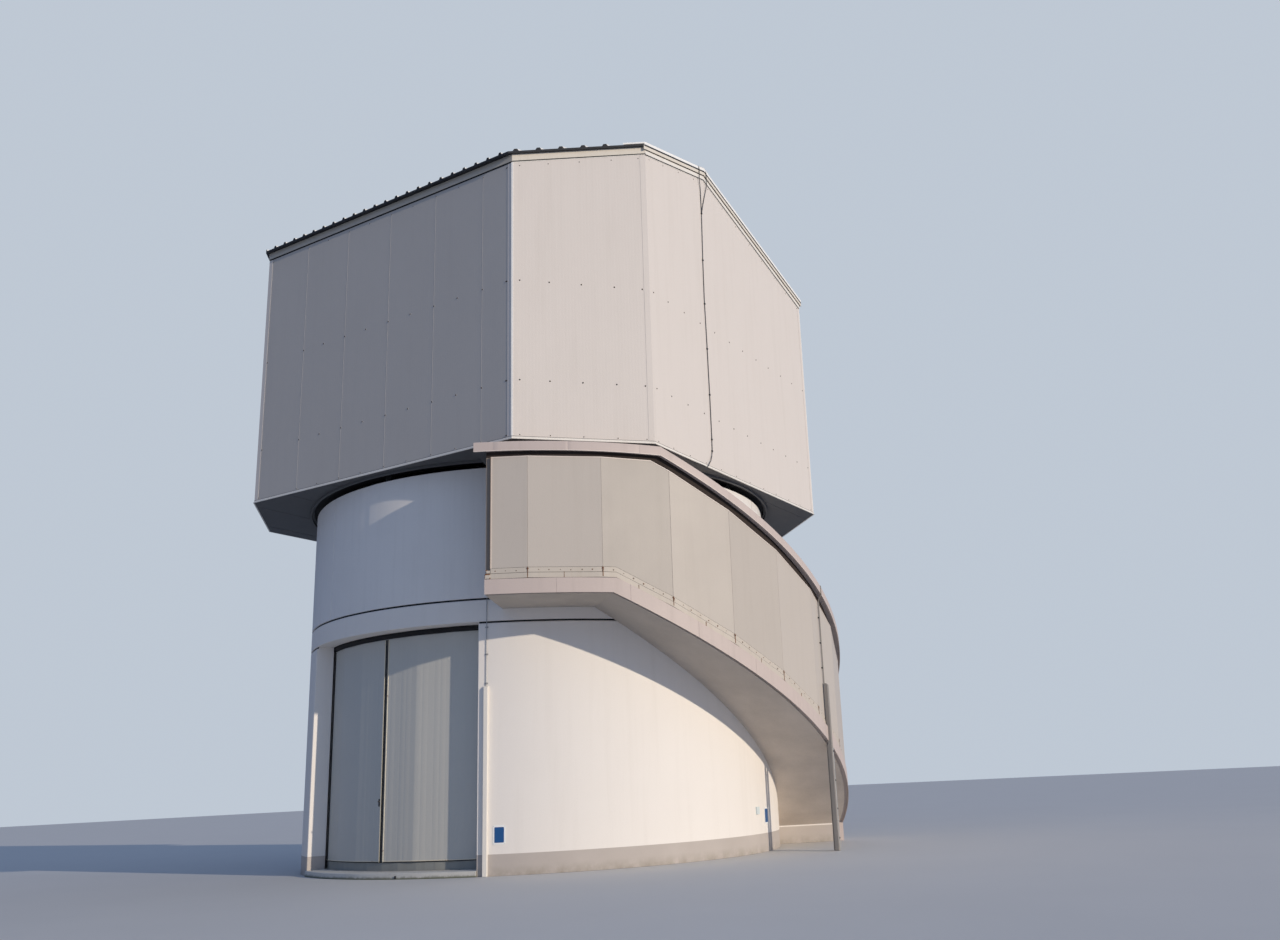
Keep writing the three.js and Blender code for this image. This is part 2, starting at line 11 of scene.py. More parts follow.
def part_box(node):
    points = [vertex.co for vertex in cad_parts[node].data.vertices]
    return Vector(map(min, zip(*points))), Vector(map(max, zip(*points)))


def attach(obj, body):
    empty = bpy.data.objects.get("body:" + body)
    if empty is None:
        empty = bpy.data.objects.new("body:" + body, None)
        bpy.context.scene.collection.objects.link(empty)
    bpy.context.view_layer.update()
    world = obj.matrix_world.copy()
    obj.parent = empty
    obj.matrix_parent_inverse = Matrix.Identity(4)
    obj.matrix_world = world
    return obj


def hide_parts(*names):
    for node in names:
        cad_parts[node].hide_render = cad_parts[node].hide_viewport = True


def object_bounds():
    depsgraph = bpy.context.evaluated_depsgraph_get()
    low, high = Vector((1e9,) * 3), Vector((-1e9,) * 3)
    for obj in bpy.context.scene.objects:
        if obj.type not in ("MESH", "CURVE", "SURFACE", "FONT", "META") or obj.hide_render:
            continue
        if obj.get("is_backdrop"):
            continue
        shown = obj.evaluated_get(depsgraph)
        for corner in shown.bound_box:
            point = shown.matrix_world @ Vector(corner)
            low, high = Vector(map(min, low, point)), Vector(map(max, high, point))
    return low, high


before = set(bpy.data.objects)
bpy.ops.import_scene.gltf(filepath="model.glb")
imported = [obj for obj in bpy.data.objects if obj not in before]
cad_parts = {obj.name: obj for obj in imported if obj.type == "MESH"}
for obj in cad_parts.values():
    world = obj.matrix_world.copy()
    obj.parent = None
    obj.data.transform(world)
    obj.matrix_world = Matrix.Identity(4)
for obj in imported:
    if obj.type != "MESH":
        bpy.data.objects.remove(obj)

CAD_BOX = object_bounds()


def low(node, axis=2):
    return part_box(node)[0][axis]


def high(node, axis=2):
    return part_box(node)[1][axis]


HAIR = 0.0003  # keeps two faces from lying in one plane
LIFT = 0.0005  # the same under a thin strip
AROUND = [float(az) for az in range(360)]

# Drum
DRUM_R = high("ring_beam", 0)
DRUM_INNER = DRUM_R - 0.3
BEAM_BOTTOM, BEAM_TOP = low("ring_beam"), high("ring_beam")
UPPER_LOW, WALL_TOP = low("upper_wall_back"), high("upper_wall_back")
DOOR_HALF = 26.15
UPPER_DOOR_FROM, UPPER_DOOR_TO = 35.3, 46.8
LOWER_WALLS = {
    "right": (DOOR_HALF, 134.996),
    "back": (135.004, 224.996),
    "left": (225.004, 360 - DOOR_HALF),
}
UPPER_WALLS = {
    "right": (UPPER_DOOR_TO, 149.996),
    "back": (150.004, 269.996),
    "left": (270.004, 360 + UPPER_DOOR_FROM),
}
JOINT = {"height": 0.030, "depth": 0.035, "chamfer": 0.015}
PLINTH_TOP = 0.32
UPPER_SEAM = {"first": 102.84, "pitch": 60, "half": 0.15, "depth": 0.02}
UPPER_SEAMS = [UPPER_SEAM["first"] + k * UPPER_SEAM["pitch"] for k in range(5)]
LAP = {"at": 357.7, "step": 0.0095, "width": 0.12, "reach": 10}

# Doors
LEAF_R = 4.165
LEAF_PANEL, LEAF_PANELS = 9.3, 3
LEAF_BOTTOM, LEAF_TOP = 0.235, 3.865
LEAF_GROOVES = 6
SKIN_THICK = 0.004
LOCK_AZ, LOCK_Z = 1.05, 1.17
SILL_OUT = 4.53
STOP_AZ = 8.75

# Stair
STAIR_R, STAIR_WALL = 5.85, 0.08
STAIR_FOLD, STAIR_FACET = 37.55, 11.25
STAIR_FROM, STAIR_TO = 31.2, 146.0
PANELS_FROM = 32.0
FALL = 0.0486
RISERS, FIRST_RISER = 26, 51.5
CLOSING = 128.4
LANDING_Z = high("stair_landing")
RISER = LANDING_Z / RISERS
TREAD = RISER / FALL
SLAB_OUT = 5.7897
FASCIA_INNER, FASCIA_OUTER = 5.79, 5.87
CAP_OVERHANG, CAP_DEPTH = 1.75, 0.157
CAP_INNER, CAP_NECK_IN, CAP_NECK_OUT = 4.5003, 5.775, 5.792
CAP_OUTER = -low("stair_roof_upper", 1) / math.cos(math.radians(STAIR_FROM - CAP_OVERHANG)) - 0.002
STRIP_TOP, STRIP_MIDDLE = 0.17, 0.088

# Lines that are level up to a bend and then fall with the stair: their height, bend and lowest level
SOFFIT_LINE = (LANDING_Z - 0.2, 50.35, 0)
FASCIA_LINE = (4.371, 50.9, 0.12)
HEAD_LINE = (6.323, 57.0, 2.37)
CAP_LINE = (6.395, 58.5, 2.442)

# Conductors and plates
DOOR_BAR_AZ, STAIR_BAR_AZ = 27.95, 97.6
PLATE = {"z_door": 0.605, "z_stair": 0.622, "width": 0.205, "height": 0.287, "border": 0.028}

# Turning enclosure, in its own frame before it is turned
TURN = 1.8
HALF, CHAMFER, PANEL = 4.733, 1.64, 0.1
CORNER_LEG = 0.095
SOFFIT_Z = low("enclosure_soffit")
WALLS_BOTTOM = low("enclosure_wall_front")
OPENING_R = 4.64
RIDGE_Y, RIDGE_Z = -1.04, 12.68
EAVE_Z, BACK_EAVE_Z = 11.72, 11.055
FRONT_SLOPE = (RIDGE_Z - EAVE_Z) / (RIDGE_Y + HALF)
BACK_SLOPE = (RIDGE_Z - BACK_EAVE_Z) / (HALF - RIDGE_Y)
RAKE_OUT, EAVE_OUT, CHAMFER_OUT = 0.045, 0.105, 0.07
SHEET_BASE, SHEET_TOP, SKIN = 0.060, 0.100, 0.0012
RIB = {"pitch": 0.2727, "first": -4.185, "foot": 0.036, "head": 0.018, "top": 0.140}
VERGE = 0.28
EAVE_BAND, GABLE_BAND = (-0.068, 0.0597), (-0.086, -0.012)
SEAM_PITCH, SOFFIT_BOARD = 1.1, 1.1
SEAM_PROFILE = ((0.007, 0.0005), (0.012, -0.0013), (0.015, 0.0))  # ways from a seam on both sides, and out
TURNED = Matrix.Rotation(math.radians(TURN), 4, "Z")
MITRE = math.tan(math.radians(22.5))


def place(az, r, z):
    turn = math.radians(az)
    return Vector((r * math.sin(turn), -r * math.cos(turn), z))


def span(start, end, step, extra=()):
    """Azimuths from start to end, no further apart than step, with the extra ones among them."""
    count = max(1, math.ceil((end - start) / step))
    stops = [start + (end - start) * k / count for k in range(count + 1)]
    stops += [az for az in extra if start < az < end]
    stops.sort()
    return [az for i, az in enumerate(stops) if i == 0 or az - stops[i - 1] > 1e-4]


def beside(azimuths, way):
    """Azimuths, or ways along a side, a little before and after the given ones."""
    return [az + side * way for az in azimuths for side in (-1, 1)]


def rect(inner, outer, bottom, top):
    """The outline of a strip: ways out and heights."""
    return [(inner, bottom), (outer, bottom), (outer, top), (inner, top)]


def loft(sections, closed=False):
    """Points and faces of a solid through outlines of equal point count."""
    count = len(sections[0])
    points = [point for section in sections for point in section]
    faces = []
    for i in range(len(sections) if closed else len(sections) - 1):
        a = i * count
        b = (i + 1) % len(sections) * count
        for j in range(count):
            k = (j + 1) % count
            faces.append((a + j, a + k, b + k, b + j))
    if not closed:
        last = (len(sections) - 1) * count
        faces.append(tuple(range(count)))
        faces.append(tuple(last + j for j in range(count)))
    return points, faces


def sweep(azimuths, outline, closed=False):
    """A solid round the drum's axis. Its outline of (radius, height) may be a function of the azimuth."""
    outline_at = outline if callable(outline) else lambda az: outline
    return loft([[place(az, r, z) for r, z in outline_at(az)] for az in azimuths], closed)


def merged(parts):
    points, faces = [], []
    for more_points, more_faces in parts:
        start = len(points)
        points.extend(more_points)
        faces.extend(tuple(start + i for i in face) for face in more_faces)
    return points, faces


def block(matrix, size, taper=1.0):
    """A box that stands on its base at a matrix. Its top may be smaller than its base."""
    x, y, z = size
    corners = ((-x, -y), (x, -y), (x, y), (-x, y))
    rings = ((0, 1.0), (z, taper))
    return loft([[matrix @ Vector((a * k / 2, b * k / 2, h)) for a, b in corners] for h, k in rings])


def dome(matrix, radius, height, sides=8):
    """A low round head, such as a screw's or a rivet's, standing on its base."""
    rings = [(0, radius), (0.6 * height, 0.85 * radius), (height, 0.4 * radius)]
    turns = [2 * math.pi * k / sides for k in range(sides)]
    return loft([[matrix @ Vector((r * math.cos(t), r * math.sin(t), h)) for t in turns] for h, r in rings])


def tube(path, radius, sides=10):
    """A round bar along points."""
    tilt = Vector((0.31, 0.27, 0.91))  # no bar runs this way
    turns = [2 * math.pi * k / sides for k in range(sides)]
    sections = []
    for i, point in enumerate(path):
        along = (path[min(len(path) - 1, i + 1)] - path[max(0, i - 1)]).normalized()
        side = along.cross(tilt).normalized()
        other = along.cross(side)
        sections.append([point + radius * (math.cos(t) * side + math.sin(t) * other) for t in turns])
    return loft(sections)


def facing(point, outward, up=Vector((0, 0, 1))):
    """A matrix at a point whose Z looks outward and whose Y is close to up."""
    z = outward.normalized()
    x = up.cross(z).normalized()
    return Matrix.Translation(point) @ Matrix((x, z.cross(x), z)).transposed().to_4x4()


def on_drum(az, r, z):
    """A matrix on a round wall that looks outward."""
    return facing(place(az, r, z), place(az, 1, 0))


def shifted(matrix, x, y, z):
    return matrix @ Matrix.Translation((x, y, z))


def linked(name, data):
    thing = bpy.data.objects.new(name, data)
    bpy.context.scene.collection.objects.link(thing)
    return thing


def make(name, shape, finish, body="building", stands_for=(), sharp=32, bevel=0):
    """Adds a piece from a shape or a list of them, with its finish, body and the nodes that it stands for."""
    points, faces = merged(shape) if isinstance(shape, list) else shape
    mesh = bpy.data.meshes.new(name)
    mesh.from_pydata([tuple(point) for point in points], [], faces)
    clean = bmesh.new()
    clean.from_mesh(mesh)
    bmesh.ops.recalc_face_normals(clean, faces=clean.faces)
    clean.to_mesh(mesh)
    clean.free()
    mesh.polygons.foreach_set("use_smooth", [True] * len(mesh.polygons))
    mesh.set_sharp_from_angle(angle=math.radians(sharp))
    slot, material = finish
    mesh.materials.append(material)
    piece = linked(name, mesh)
    if bevel:
        edges = piece.modifiers.new("edges", "BEVEL")
        edges.width = bevel
        edges.segments = 2
        edges.limit_method = "ANGLE"
        edges.angle_limit = math.radians(40)
    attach(piece, body)
    if stands_for:
        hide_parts(*stands_for)


# Materials


class Nodes:
    """A node tree under construction."""

    def __init__(self, tree):
        self.tree = tree

    def node(self, kind, inputs, **settings):
        made = self.tree.nodes.new(kind)
        for name, value in settings.items():
            setattr(made, name, value)
        for key, value in inputs.items():
            socket = made.inputs[key]
            if isinstance(value, bpy.types.NodeSocket):
                self.tree.links.new(value, socket)
            else:
                socket.default_value = value
        return made


class Surface(Nodes):
    """A node material under construction. Each method adds nodes and returns the output that carries on."""

    def __init__(self, slot, name, roughness, metallic=0.0):
        self.slot = slot
        self.material = bpy.data.materials.new(name)
        self.material.use_nodes = True
        super().__init__(self.material.node_tree)
        self.shader = self.tree.nodes["Principled BSDF"]
        self.shader.inputs["Metallic"].default_value = metallic
        self.roughness = roughness
        self.spot = self.tree.nodes.new("ShaderNodeTexCoord").outputs["Object"]

    def noise(self, scale, detail=4.0, rough=0.6, stretch=(1, 1, 1)):
        moved = self.node("ShaderNodeMapping", {"Vector": self.spot, "Scale": stretch}).outputs[0]
        inputs = {"Vector": moved, "Scale": scale, "Detail": detail, "Roughness": rough}
        return self.node("ShaderNodeTexNoise", inputs).outputs["Fac"]

    def between(self, value, start, end):
        """0 up to start, 1 from end, and even between them. End may be the lower one."""
        inputs = {"Value": value, "From Min": start, "From Max": end}
        return self.node("ShaderNodeMapRange", inputs, clamp=True).outputs[0]

    def height(self):
        return self.node("ShaderNodeSeparateXYZ", {0: self.spot}).outputs["Z"]

    def within(self, start, end):
        """1 between two azimuths and 0 elsewhere."""
        inputs = {"Vector": self.spot, "Rotation": (0, 0, math.pi / 2)}
        turned = self.node("ShaderNodeMapping", inputs).outputs[0]
        share = self.node("ShaderNodeTexGradient", {"Vector": turned}, gradient_type="RADIAL").outputs["Fac"]
        soft = 0.02
        stops = [(az / 360 + 0.5) for az in (start - soft, start + soft, end + soft, end - soft)]
        return self.times(self.between(share, *stops[:2]), self.between(share, *stops[2:]))

    def times(self, a, b):
        return self.node("ShaderNodeMath", {0: a, 1: b}, operation="MULTIPLY").outputs[0]

    def plus(self, a, b):
        return self.node("ShaderNodeMath", {0: a, 1: b}, operation="ADD").outputs[0]

    def mix(self, share, a, b, **settings):
        a, b = [(*colour, 1) if isinstance(colour, tuple) else colour for colour in (a, b)]
        return self.node("ShaderNodeMix", {0: share, 6: a, 7: b}, data_type="RGBA", **settings).outputs[2]

    def over(self, base, colour, pattern, start, end, amount=1.0):
        """The base with a colour over it that grows, as the pattern goes from start to end, to the amount."""
        share = self.between(pattern, start, end)
        return self.mix(self.times(share, amount) if amount < 1 else share, base, colour)

    def finish(self, colour, relief, depth, rough_noise):
        low_high = {"To Min": self.roughness - 0.08, "To Max": min(1.0, self.roughness + 0.1)}
        spread = self.node("ShaderNodeMapRange", {"Value": rough_noise, **low_high})
        bump = self.node("ShaderNodeBump", {"Height": relief, "Distance": depth, "Strength": 0.7})
        self.tree.links.new(colour, self.shader.inputs["Base Color"])
        self.tree.links.new(spread.outputs[0], self.shader.inputs["Roughness"])
        self.tree.links.new(bump.outputs[0], self.shader.inputs["Normal"])
        return self.slot, self.material


UPRIGHT = (1, 1, 0.05)  # stretches a noise into upright streaks
PATCH = 0.86  # the share of a colour that its cloudy patches keep


def darker(colour, share):
    return tuple(c * share for c in colour)


def painted(slot, name, colour, stain, roughness, streaks=0.25, mottle=0.3, depth=0.002, wave=0.0, dull=()):
    """Paint or sheet with cloudy patches, rain streaks and a fine grain. Dull lists azimuths and a share:
    painted shade that darkens the colour between them.
    """
    surface = Surface(slot, name, roughness)
    cloud = surface.noise(0.9, 6)
    rain = surface.noise(7.0, 5, stretch=UPRIGHT)
    fine = surface.noise(60.0, 3)
    base = surface.over(colour, darker(colour, PATCH), cloud, 0.35, 0.75, mottle)
    base = surface.over(base, stain, rain, 0.5, 0.78, streaks)
    base = surface.over(base, darker(colour, 0.7), fine, 0.45, 0.8, 0.12)
    # painted shade: the colour keeps only a share of itself between two azimuths
    for start, end, share in dull:
        base = surface.mix(surface.within(start, end), base, (share, share, share), blend_type="MULTIPLY")
    relief = fine
    if wave:
        broad = surface.noise(3.2, 2, stretch=(1, 1, 0.02))
        relief = surface.plus(surface.times(fine, 0.3), surface.times(broad, wave))
    return surface.finish(base, relief, depth, cloud)


def render_wall():
    """White render with a darker painted plinth, splashes above the ground and faint rain streaks."""
    surface = Surface("white_render", "white_render", 0.75)
    z = surface.height()
    cloud = surface.noise(0.7, 6)
    rain = surface.noise(5.0, 5, stretch=UPRIGHT)
    fine = surface.noise(90.0, 4, 0.7)
    base = surface.over((0.83, 0.79, 0.75), (0.78, 0.735, 0.69), cloud, 0.35, 0.75, 0.35)
    base = surface.over(base, (0.66, 0.615, 0.56), rain, 0.5, 0.8, 0.22)
    plinth = surface.over((0.53, 0.48, 0.445), (0.43, 0.385, 0.355), cloud, 0.3, 0.8)
    base = surface.over(base, plinth, z, PLINTH_TOP + 0.002, PLINTH_TOP - 0.002)
    splash = surface.times(surface.between(z, 0.16, 0.0), surface.between(surface.noise(6.0, 6), 0.35, 0.65))
    base = surface.mix(surface.times(splash, 0.6), base, (0.25, 0.215, 0.16))
    base = surface.over(base, (0.45, 0.43, 0.41), fine, 0.5, 0.85, 0.15)
    return surface.finish(base, fine, 0.0015, cloud)


def concrete(name, colour, moss=0.0, upper=None):
    """Concrete with clouds and pores. It may have moss low down, or a painted shade that darkens it high up.
    """
    surface = Surface("concrete", name, 0.85)
    cloud = surface.noise(1.6, 7, 0.65)
    pores = surface.noise(45.0, 5, 0.7)
    base = surface.over(colour, darker(colour, PATCH), cloud, 0.35, 0.7)
    if upper:
        # painted shade: darker towards the top, where the stair's soffit lies deeper in shade
        dull = surface.over(upper, darker(upper, PATCH), cloud, 0.35, 0.7)
        base = surface.over(base, dull, surface.height(), 0.8, 3.8)
    base = surface.over(base, darker(colour, 0.45), pores, 0.55, 0.75, 0.4)
    if moss:
        near = surface.between(surface.height(), 0.06, 0.0)
        ragged = surface.plus(surface.noise(11.0, 6, 0.7), surface.times(near, 0.35))
        patches = surface.between(ragged, 0.55, 0.72)
        base = surface.mix(surface.times(surface.times(near, patches), moss), base, (0.075, 0.085, 0.035))
    return surface.finish(base, pores, 0.003, cloud)


def rusty(slot, name, sound, share):
    """Thin paint over steel that has rusted through in patches. A greater share leaves more rust."""
    surface = Surface(slot, name, 0.75)
    patches = surface.noise(14.0, 7, 0.7)
    fine = surface.noise(120.0, 4)
    rust = surface.over((0.26, 0.105, 0.04), (0.09, 0.04, 0.02), fine, 0.3, 0.7)
    edge = 0.78 - 0.5 * share
    base = surface.over(sound, rust, patches, edge, edge + 0.06)
    return surface.finish(base, surface.plus(patches, fine), 0.003, fine)


def steel(slot, colour, roughness):
    """Bare or galvanised steel with a cloudy spangle and dull patches."""
    surface = Surface(slot, slot, roughness, 0.75)
    plates = surface.node("ShaderNodeTexVoronoi", {"Vector": surface.spot, "Scale": 18.0}).outputs["Color"]
    dull = surface.noise(3.0, 6)
    tone = surface.node("ShaderNodeSeparateColor", {0: plates}).outputs[0]
    base = surface.mix(surface.times(tone, 0.25), colour, darker(colour, 0.7))
    base = surface.over(base, darker(colour, 0.55), dull, 0.45, 0.75, 0.5)
    return surface.finish(base, surface.noise(80.0, 3), 0.001, dull)


# Painted shade on the stair's panels that face the key light most: from one azimuth to another, and the share
# of light that they keep
PANEL_SHADE = ((48.8, 60.05, 0.84), (60.05, 82.55, 0.93))
SHEET, CLAD = "light_cladding", "stair_cladding"
TRIM, DOOR, RENDER = "grey_trim", "door_steel", "white_render"

WHITE_RENDER = render_wall()
CLADDING = painted(SHEET, SHEET, (0.69, 0.635, 0.59), (0.56, 0.51, 0.46), 0.5, mottle=0.2)
# painted shade: some of the stair's panels are darkened, as listed above
STAIR_CLADDING = painted(
    CLAD, CLAD, (0.53, 0.48, 0.43), (0.44, 0.395, 0.345), 0.5, mottle=0.2, dull=PANEL_SHADE
)
# painted shade: a darker copy of the cladding for the long walls, front and back, as the front wall lies in
# shade
SHADED_FRONT_CLADDING = painted(
    SHEET, "shaded_front_cladding", (0.50, 0.472, 0.444), (0.448, 0.419, 0.395), 0.5, mottle=0.2
)
ROOF_SHEET = painted(SHEET, "roof_sheet", (0.80, 0.79, 0.76), (0.60, 0.58, 0.54), 0.45, 0.3)
WHITE_TRIM = painted(SHEET, "white_trim", (0.90, 0.885, 0.855), (0.70, 0.68, 0.64), 0.4, 0.2)
WARM_TRIM = painted("warm_trim", "warm_trim", (0.56, 0.475, 0.44), (0.42, 0.355, 0.32), 0.55, 0.4)
TRIM_EDGE = painted("warm_trim", "trim_edge", (0.72, 0.64, 0.585), (0.50, 0.43, 0.38), 0.5)
PALE_TRIM = painted(SHEET, "pale_trim", (0.80, 0.765, 0.71), (0.58, 0.53, 0.46), 0.45, 0.3)
CREAM_BAND = painted(SHEET, "cream_band", (0.72, 0.665, 0.58), (0.56, 0.50, 0.41), 0.5, 0.3)
# painted shade: a darker copy of the cream band for the long eaves, as the front eave lies in shade
SHADED_FRONT_BAND = painted(SHEET, "shaded_front_band", (0.55, 0.515, 0.455), (0.45, 0.405, 0.34), 0.5, 0.3)
CREAM_STRIP = painted(CLAD, "cream_strip", (0.555, 0.50, 0.437), (0.42, 0.35, 0.27), 0.55, 0.35)
UPPER_RENDER = painted(
    RENDER, "upper_render", (0.83, 0.80, 0.77), (0.67, 0.64, 0.61), 0.55, 0.3, depth=0.004, wave=0.7
)
DOOR_STEEL = painted(DOOR, DOOR, (0.56, 0.55, 0.51), (0.49, 0.475, 0.435), 0.5, 0.1, 0.2)
DARK_ROOF = painted("dark_roof", "dark_roof", (0.013, 0.014, 0.018), (0.035, 0.035, 0.037), 0.65, 0.3)
DARK_SOFFIT = painted("dark_soffit", "dark_soffit", (0.10, 0.103, 0.108), (0.13, 0.13, 0.125), 0.85, 0.1)
GUIDE_GREY = painted(TRIM, "guide_grey", (0.30, 0.305, 0.285), (0.15, 0.145, 0.13), 0.6, 0.4)
END_WALL = painted(TRIM, "end_wall", (0.25, 0.205, 0.17), (0.16, 0.13, 0.11), 0.6, 0.4)
# Near black: rubbers, brushes and some dark parts, and painted shade in the joints, under the flashings and
# under the lintel
SHADOW_SEAL = painted("dark_steel", "shadow_seal", (0.012, 0.012, 0.014), (0.03, 0.027, 0.024), 0.8)
# Near black: the screw heads, and painted shade in the gap under the stair's cap and along its strips
SCREW_AND_SHADE_BLACK = painted("dark_steel", "screw_and_shade_black", (0.030, 0.021, 0.018), (0.05, 0.036, 0.03), 0.9)
DARK_STEEL = steel("dark_steel", (0.07, 0.07, 0.075), 0.55)
GALVANISED = steel("galvanised_steel", (0.42, 0.425, 0.43), 0.5)
COVER_GREY = painted("galvanised_steel", "cover_grey", (0.27, 0.25, 0.23), (0.17, 0.15, 0.13), 0.6, 0.6)
CONCRETE = concrete("concrete", (0.40, 0.375, 0.345))
# painted shade: the stair's soffit darkens from the foot of the stair up to the landing
SOFFIT_CONCRETE = concrete("painted_concrete", (0.74, 0.655, 0.575), upper=(0.52, 0.47, 0.415))
SILL_CONCRETE = concrete("sill_concrete", (0.62, 0.61, 0.58), moss=0.95)
RUSTY_STRIP = rusty(CLAD, "rusty_strip", (0.30, 0.22, 0.15), 0.75)
RUSTY_SEAL = rusty(DOOR, "rusty_seal", (0.72, 0.66, 0.53), 0.3)
RIVET_RUST = rusty(CLAD, "rivet_rust", (0.22, 0.17, 0.13), 0.5)
BLUE_ENAMEL = painted(DOOR, "blue_plate", (0.013, 0.085, 0.26), (0.03, 0.10, 0.26), 0.3, 0.1)
WHITE_ENAMEL = painted(RENDER, "white_plate", (0.88, 0.88, 0.87), (0.76, 0.76, 0.74), 0.3, 0.15)
PALE_PLASTIC = painted(RENDER, "pale_plastic", (0.66, 0.74, 0.75), (0.5, 0.55, 0.55), 0.4)


# Drum


def under_joint(r, top):
    """The upper part of a wall's outline: its edge, the chamfer, the recessed joint and its top."""
    ledge = top - JOINT["height"]
    back = DRUM_R - JOINT["depth"]
    cut = JOINT["chamfer"]
    return [(r, ledge - cut), (r - cut, ledge), (back, ledge), (back, top), (DRUM_INNER, top)]


def drum_wall(node, start, end, bottom, top, finish, seams=()):
    """A wall segment with eased jambs, and either seams and a lap or a recessed joint along its top."""
    ease = 0.008
    ease_deg = math.degrees(ease / DRUM_R)

    def outer(az):
        if az in (start, end):
            return DRUM_R - ease
        behind = LAP["at"] - az
        if seams and LAP["width"] <= behind < LAP["reach"]:
            return DRUM_R - LAP["step"] * (LAP["reach"] - behind) / (LAP["reach"] - LAP["width"])
        return DRUM_R - (UPPER_SEAM["depth"] if az in seams else 0)

    def outline(az):
        r = outer(az)
        if seams:
            return rect(DRUM_INNER, r, bottom, top)
        return [(DRUM_INNER, bottom), (r, bottom), *under_joint(r, top)]

    lap = [LAP["at"], LAP["at"] - LAP["width"]]
    near = beside(seams, UPPER_SEAM["half"])
    azimuths = span(start, end, 1.0, [start + ease_deg, end - ease_deg, *seams, *near, *lap])
    make(node + "_finish", sweep(azimuths, outline), finish, stands_for=[node])


for word, ends in LOWER_WALLS.items():
    drum_wall("lower_wall_" + word, *ends, 0, BEAM_BOTTOM - HAIR, WHITE_RENDER)
for word, ends in UPPER_WALLS.items():
    drum_wall("upper_wall_" + word, *ends, UPPER_LOW, WALL_TOP, UPPER_RENDER, UPPER_SEAMS)


def upper_seam_seals():
    """Grey seals in the seams of the upper drum. The seam in front is painted over."""
    outline = rect(DRUM_R - 0.018, DRUM_R - 0.003, UPPER_LOW, WALL_TOP)
    seals = [sweep(beside([az], 0.11), outline) for az in UPPER_SEAMS[:-1]]
    make("upper_seam_seals", seals, COVER_GREY)


upper_seam_seals()


def ring_beam():
    ease = 0.004
    foot = [(DRUM_INNER, BEAM_BOTTOM), (DRUM_R - ease, BEAM_BOTTOM), (DRUM_R, BEAM_BOTTOM + ease)]
    shape = sweep(AROUND, foot + under_joint(DRUM_R, BEAM_TOP), True)
    make("ring_beam_finish", shape, WHITE_RENDER, stands_for=["ring_beam"])


ring_beam()


def joint_shade(name, top, azimuths, closed=False):
    """Painted shade: a near-black band at the back of a recessed joint."""
    back = DRUM_R - JOINT["depth"]
    outline = rect(back + HAIR, back + 0.004, top - JOINT["height"] + HAIR, top - HAIR)
    make(name, sweep(azimuths, outline, closed), SHADOW_SEAL)


# painted shade in the joints over and under the ring beam
joint_shade("joint_shade_upper", BEAM_TOP, AROUND, True)
joint_shade("joint_shade_lower", BEAM_BOTTOM - HAIR, span(DOOR_HALF + 0.05, 360 - DOOR_HALF - 0.05, 1.0))


# Doors


def leaf_radius(az):
    """The outer face of a leaf of flat panels."""
    along = abs(az) / LEAF_PANEL
    from_middle = (along - math.floor(along) - 0.5) * LEAF_PANEL
    return LEAF_R * math.cos(math.radians(LEAF_PANEL / 2)) / math.cos(math.radians(from_middle))


def door_skin(word, side):
    """A thin steel skin over the leaf, with shallow upright grooves."""
    groove_pitch = LEAF_PANEL / LEAF_GROOVES
    grooves = [k * groove_pitch for k in range(1, LEAF_PANELS * LEAF_GROOVES)]
    azimuths = span(0.75, LEAF_PANELS * LEAF_PANEL - 0.1, 1.2, [*grooves, *beside(grooves, 0.05)])

    def outline(az):
        face = leaf_radius(az)
        out = face + (SKIN_THICK - 0.0004 if abs(az) in grooves else SKIN_THICK)
        return rect(face + 0.0004, out, LEAF_BOTTOM + 0.02, LEAF_TOP - 0.002)

    make("door_skin_" + word, sweep([side * az for az in azimuths], outline), DOOR_STEEL, "door_" + word)


def door_seals(word, side):
    """Rubbers, seals and brushes up the edges of a leaf, and the rail and the brush along its foot."""

    def upright(az, width, r, thick, drop):
        half = math.degrees(width / 2 / r)
        outline = rect(r, r + thick, LEAF_BOTTOM, LEAF_TOP - drop)
        return sweep([side * a for a in (az - half, az + half)], outline)

    def along(out, foot, head):
        def outline(az):
            r = leaf_radius(az)
            return rect(r + 0.0045, r + out, LEAF_BOTTOM + foot, LEAF_BOTTOM + head)

        return sweep([side * az for az in span(0.72, 25.6, 0.5)], outline)

    body = "door_" + word
    face = leaf_radius(0.3) + LIFT
    jamb = LEAF_PANELS * LEAF_PANEL - 1.95
    jamb_brush = upright(jamb, 0.03, leaf_radius(jamb) + 0.0045, 0.012, 0.012)
    make("door_rubber_" + word, upright(0.26, 0.026, face, 0.006, 0.012), SHADOW_SEAL, body)
    make("door_seal_" + word, upright(0.60, 0.020, face, 0.010, 0.02), RUSTY_SEAL, body, bevel=0.002)
    make("door_jamb_brush_" + word, jamb_brush, SHADOW_SEAL, body)
    make("door_foot_rail_" + word, along(0.010, 0.006, 0.020), RUSTY_SEAL, body)
    make("door_foot_brush_" + word, along(0.008, -0.007, 0.0055), SHADOW_SEAL, body)


for word, side in (("right", 1), ("left", -1)):
    door_skin(word, side)
    door_seals(word, side)


def door_lock():
    """The lock on the left leaf: a plate with a knob and a small boss below it."""
    at = on_drum(-LOCK_AZ, leaf_radius(LOCK_AZ) + SKIN_THICK, LOCK_Z)
    knob = dome(shifted(at, 0, 0.02, 0.006), 0.016, 0.03, 14)
    key = dome(shifted(at, 0, -0.03, 0.006), 0.008, 0.006, 10)
    make("door_lock", [block(at, (0.045, 0.12, 0.006)), knob, key], DARK_STEEL, "door_left", bevel=0.0015)


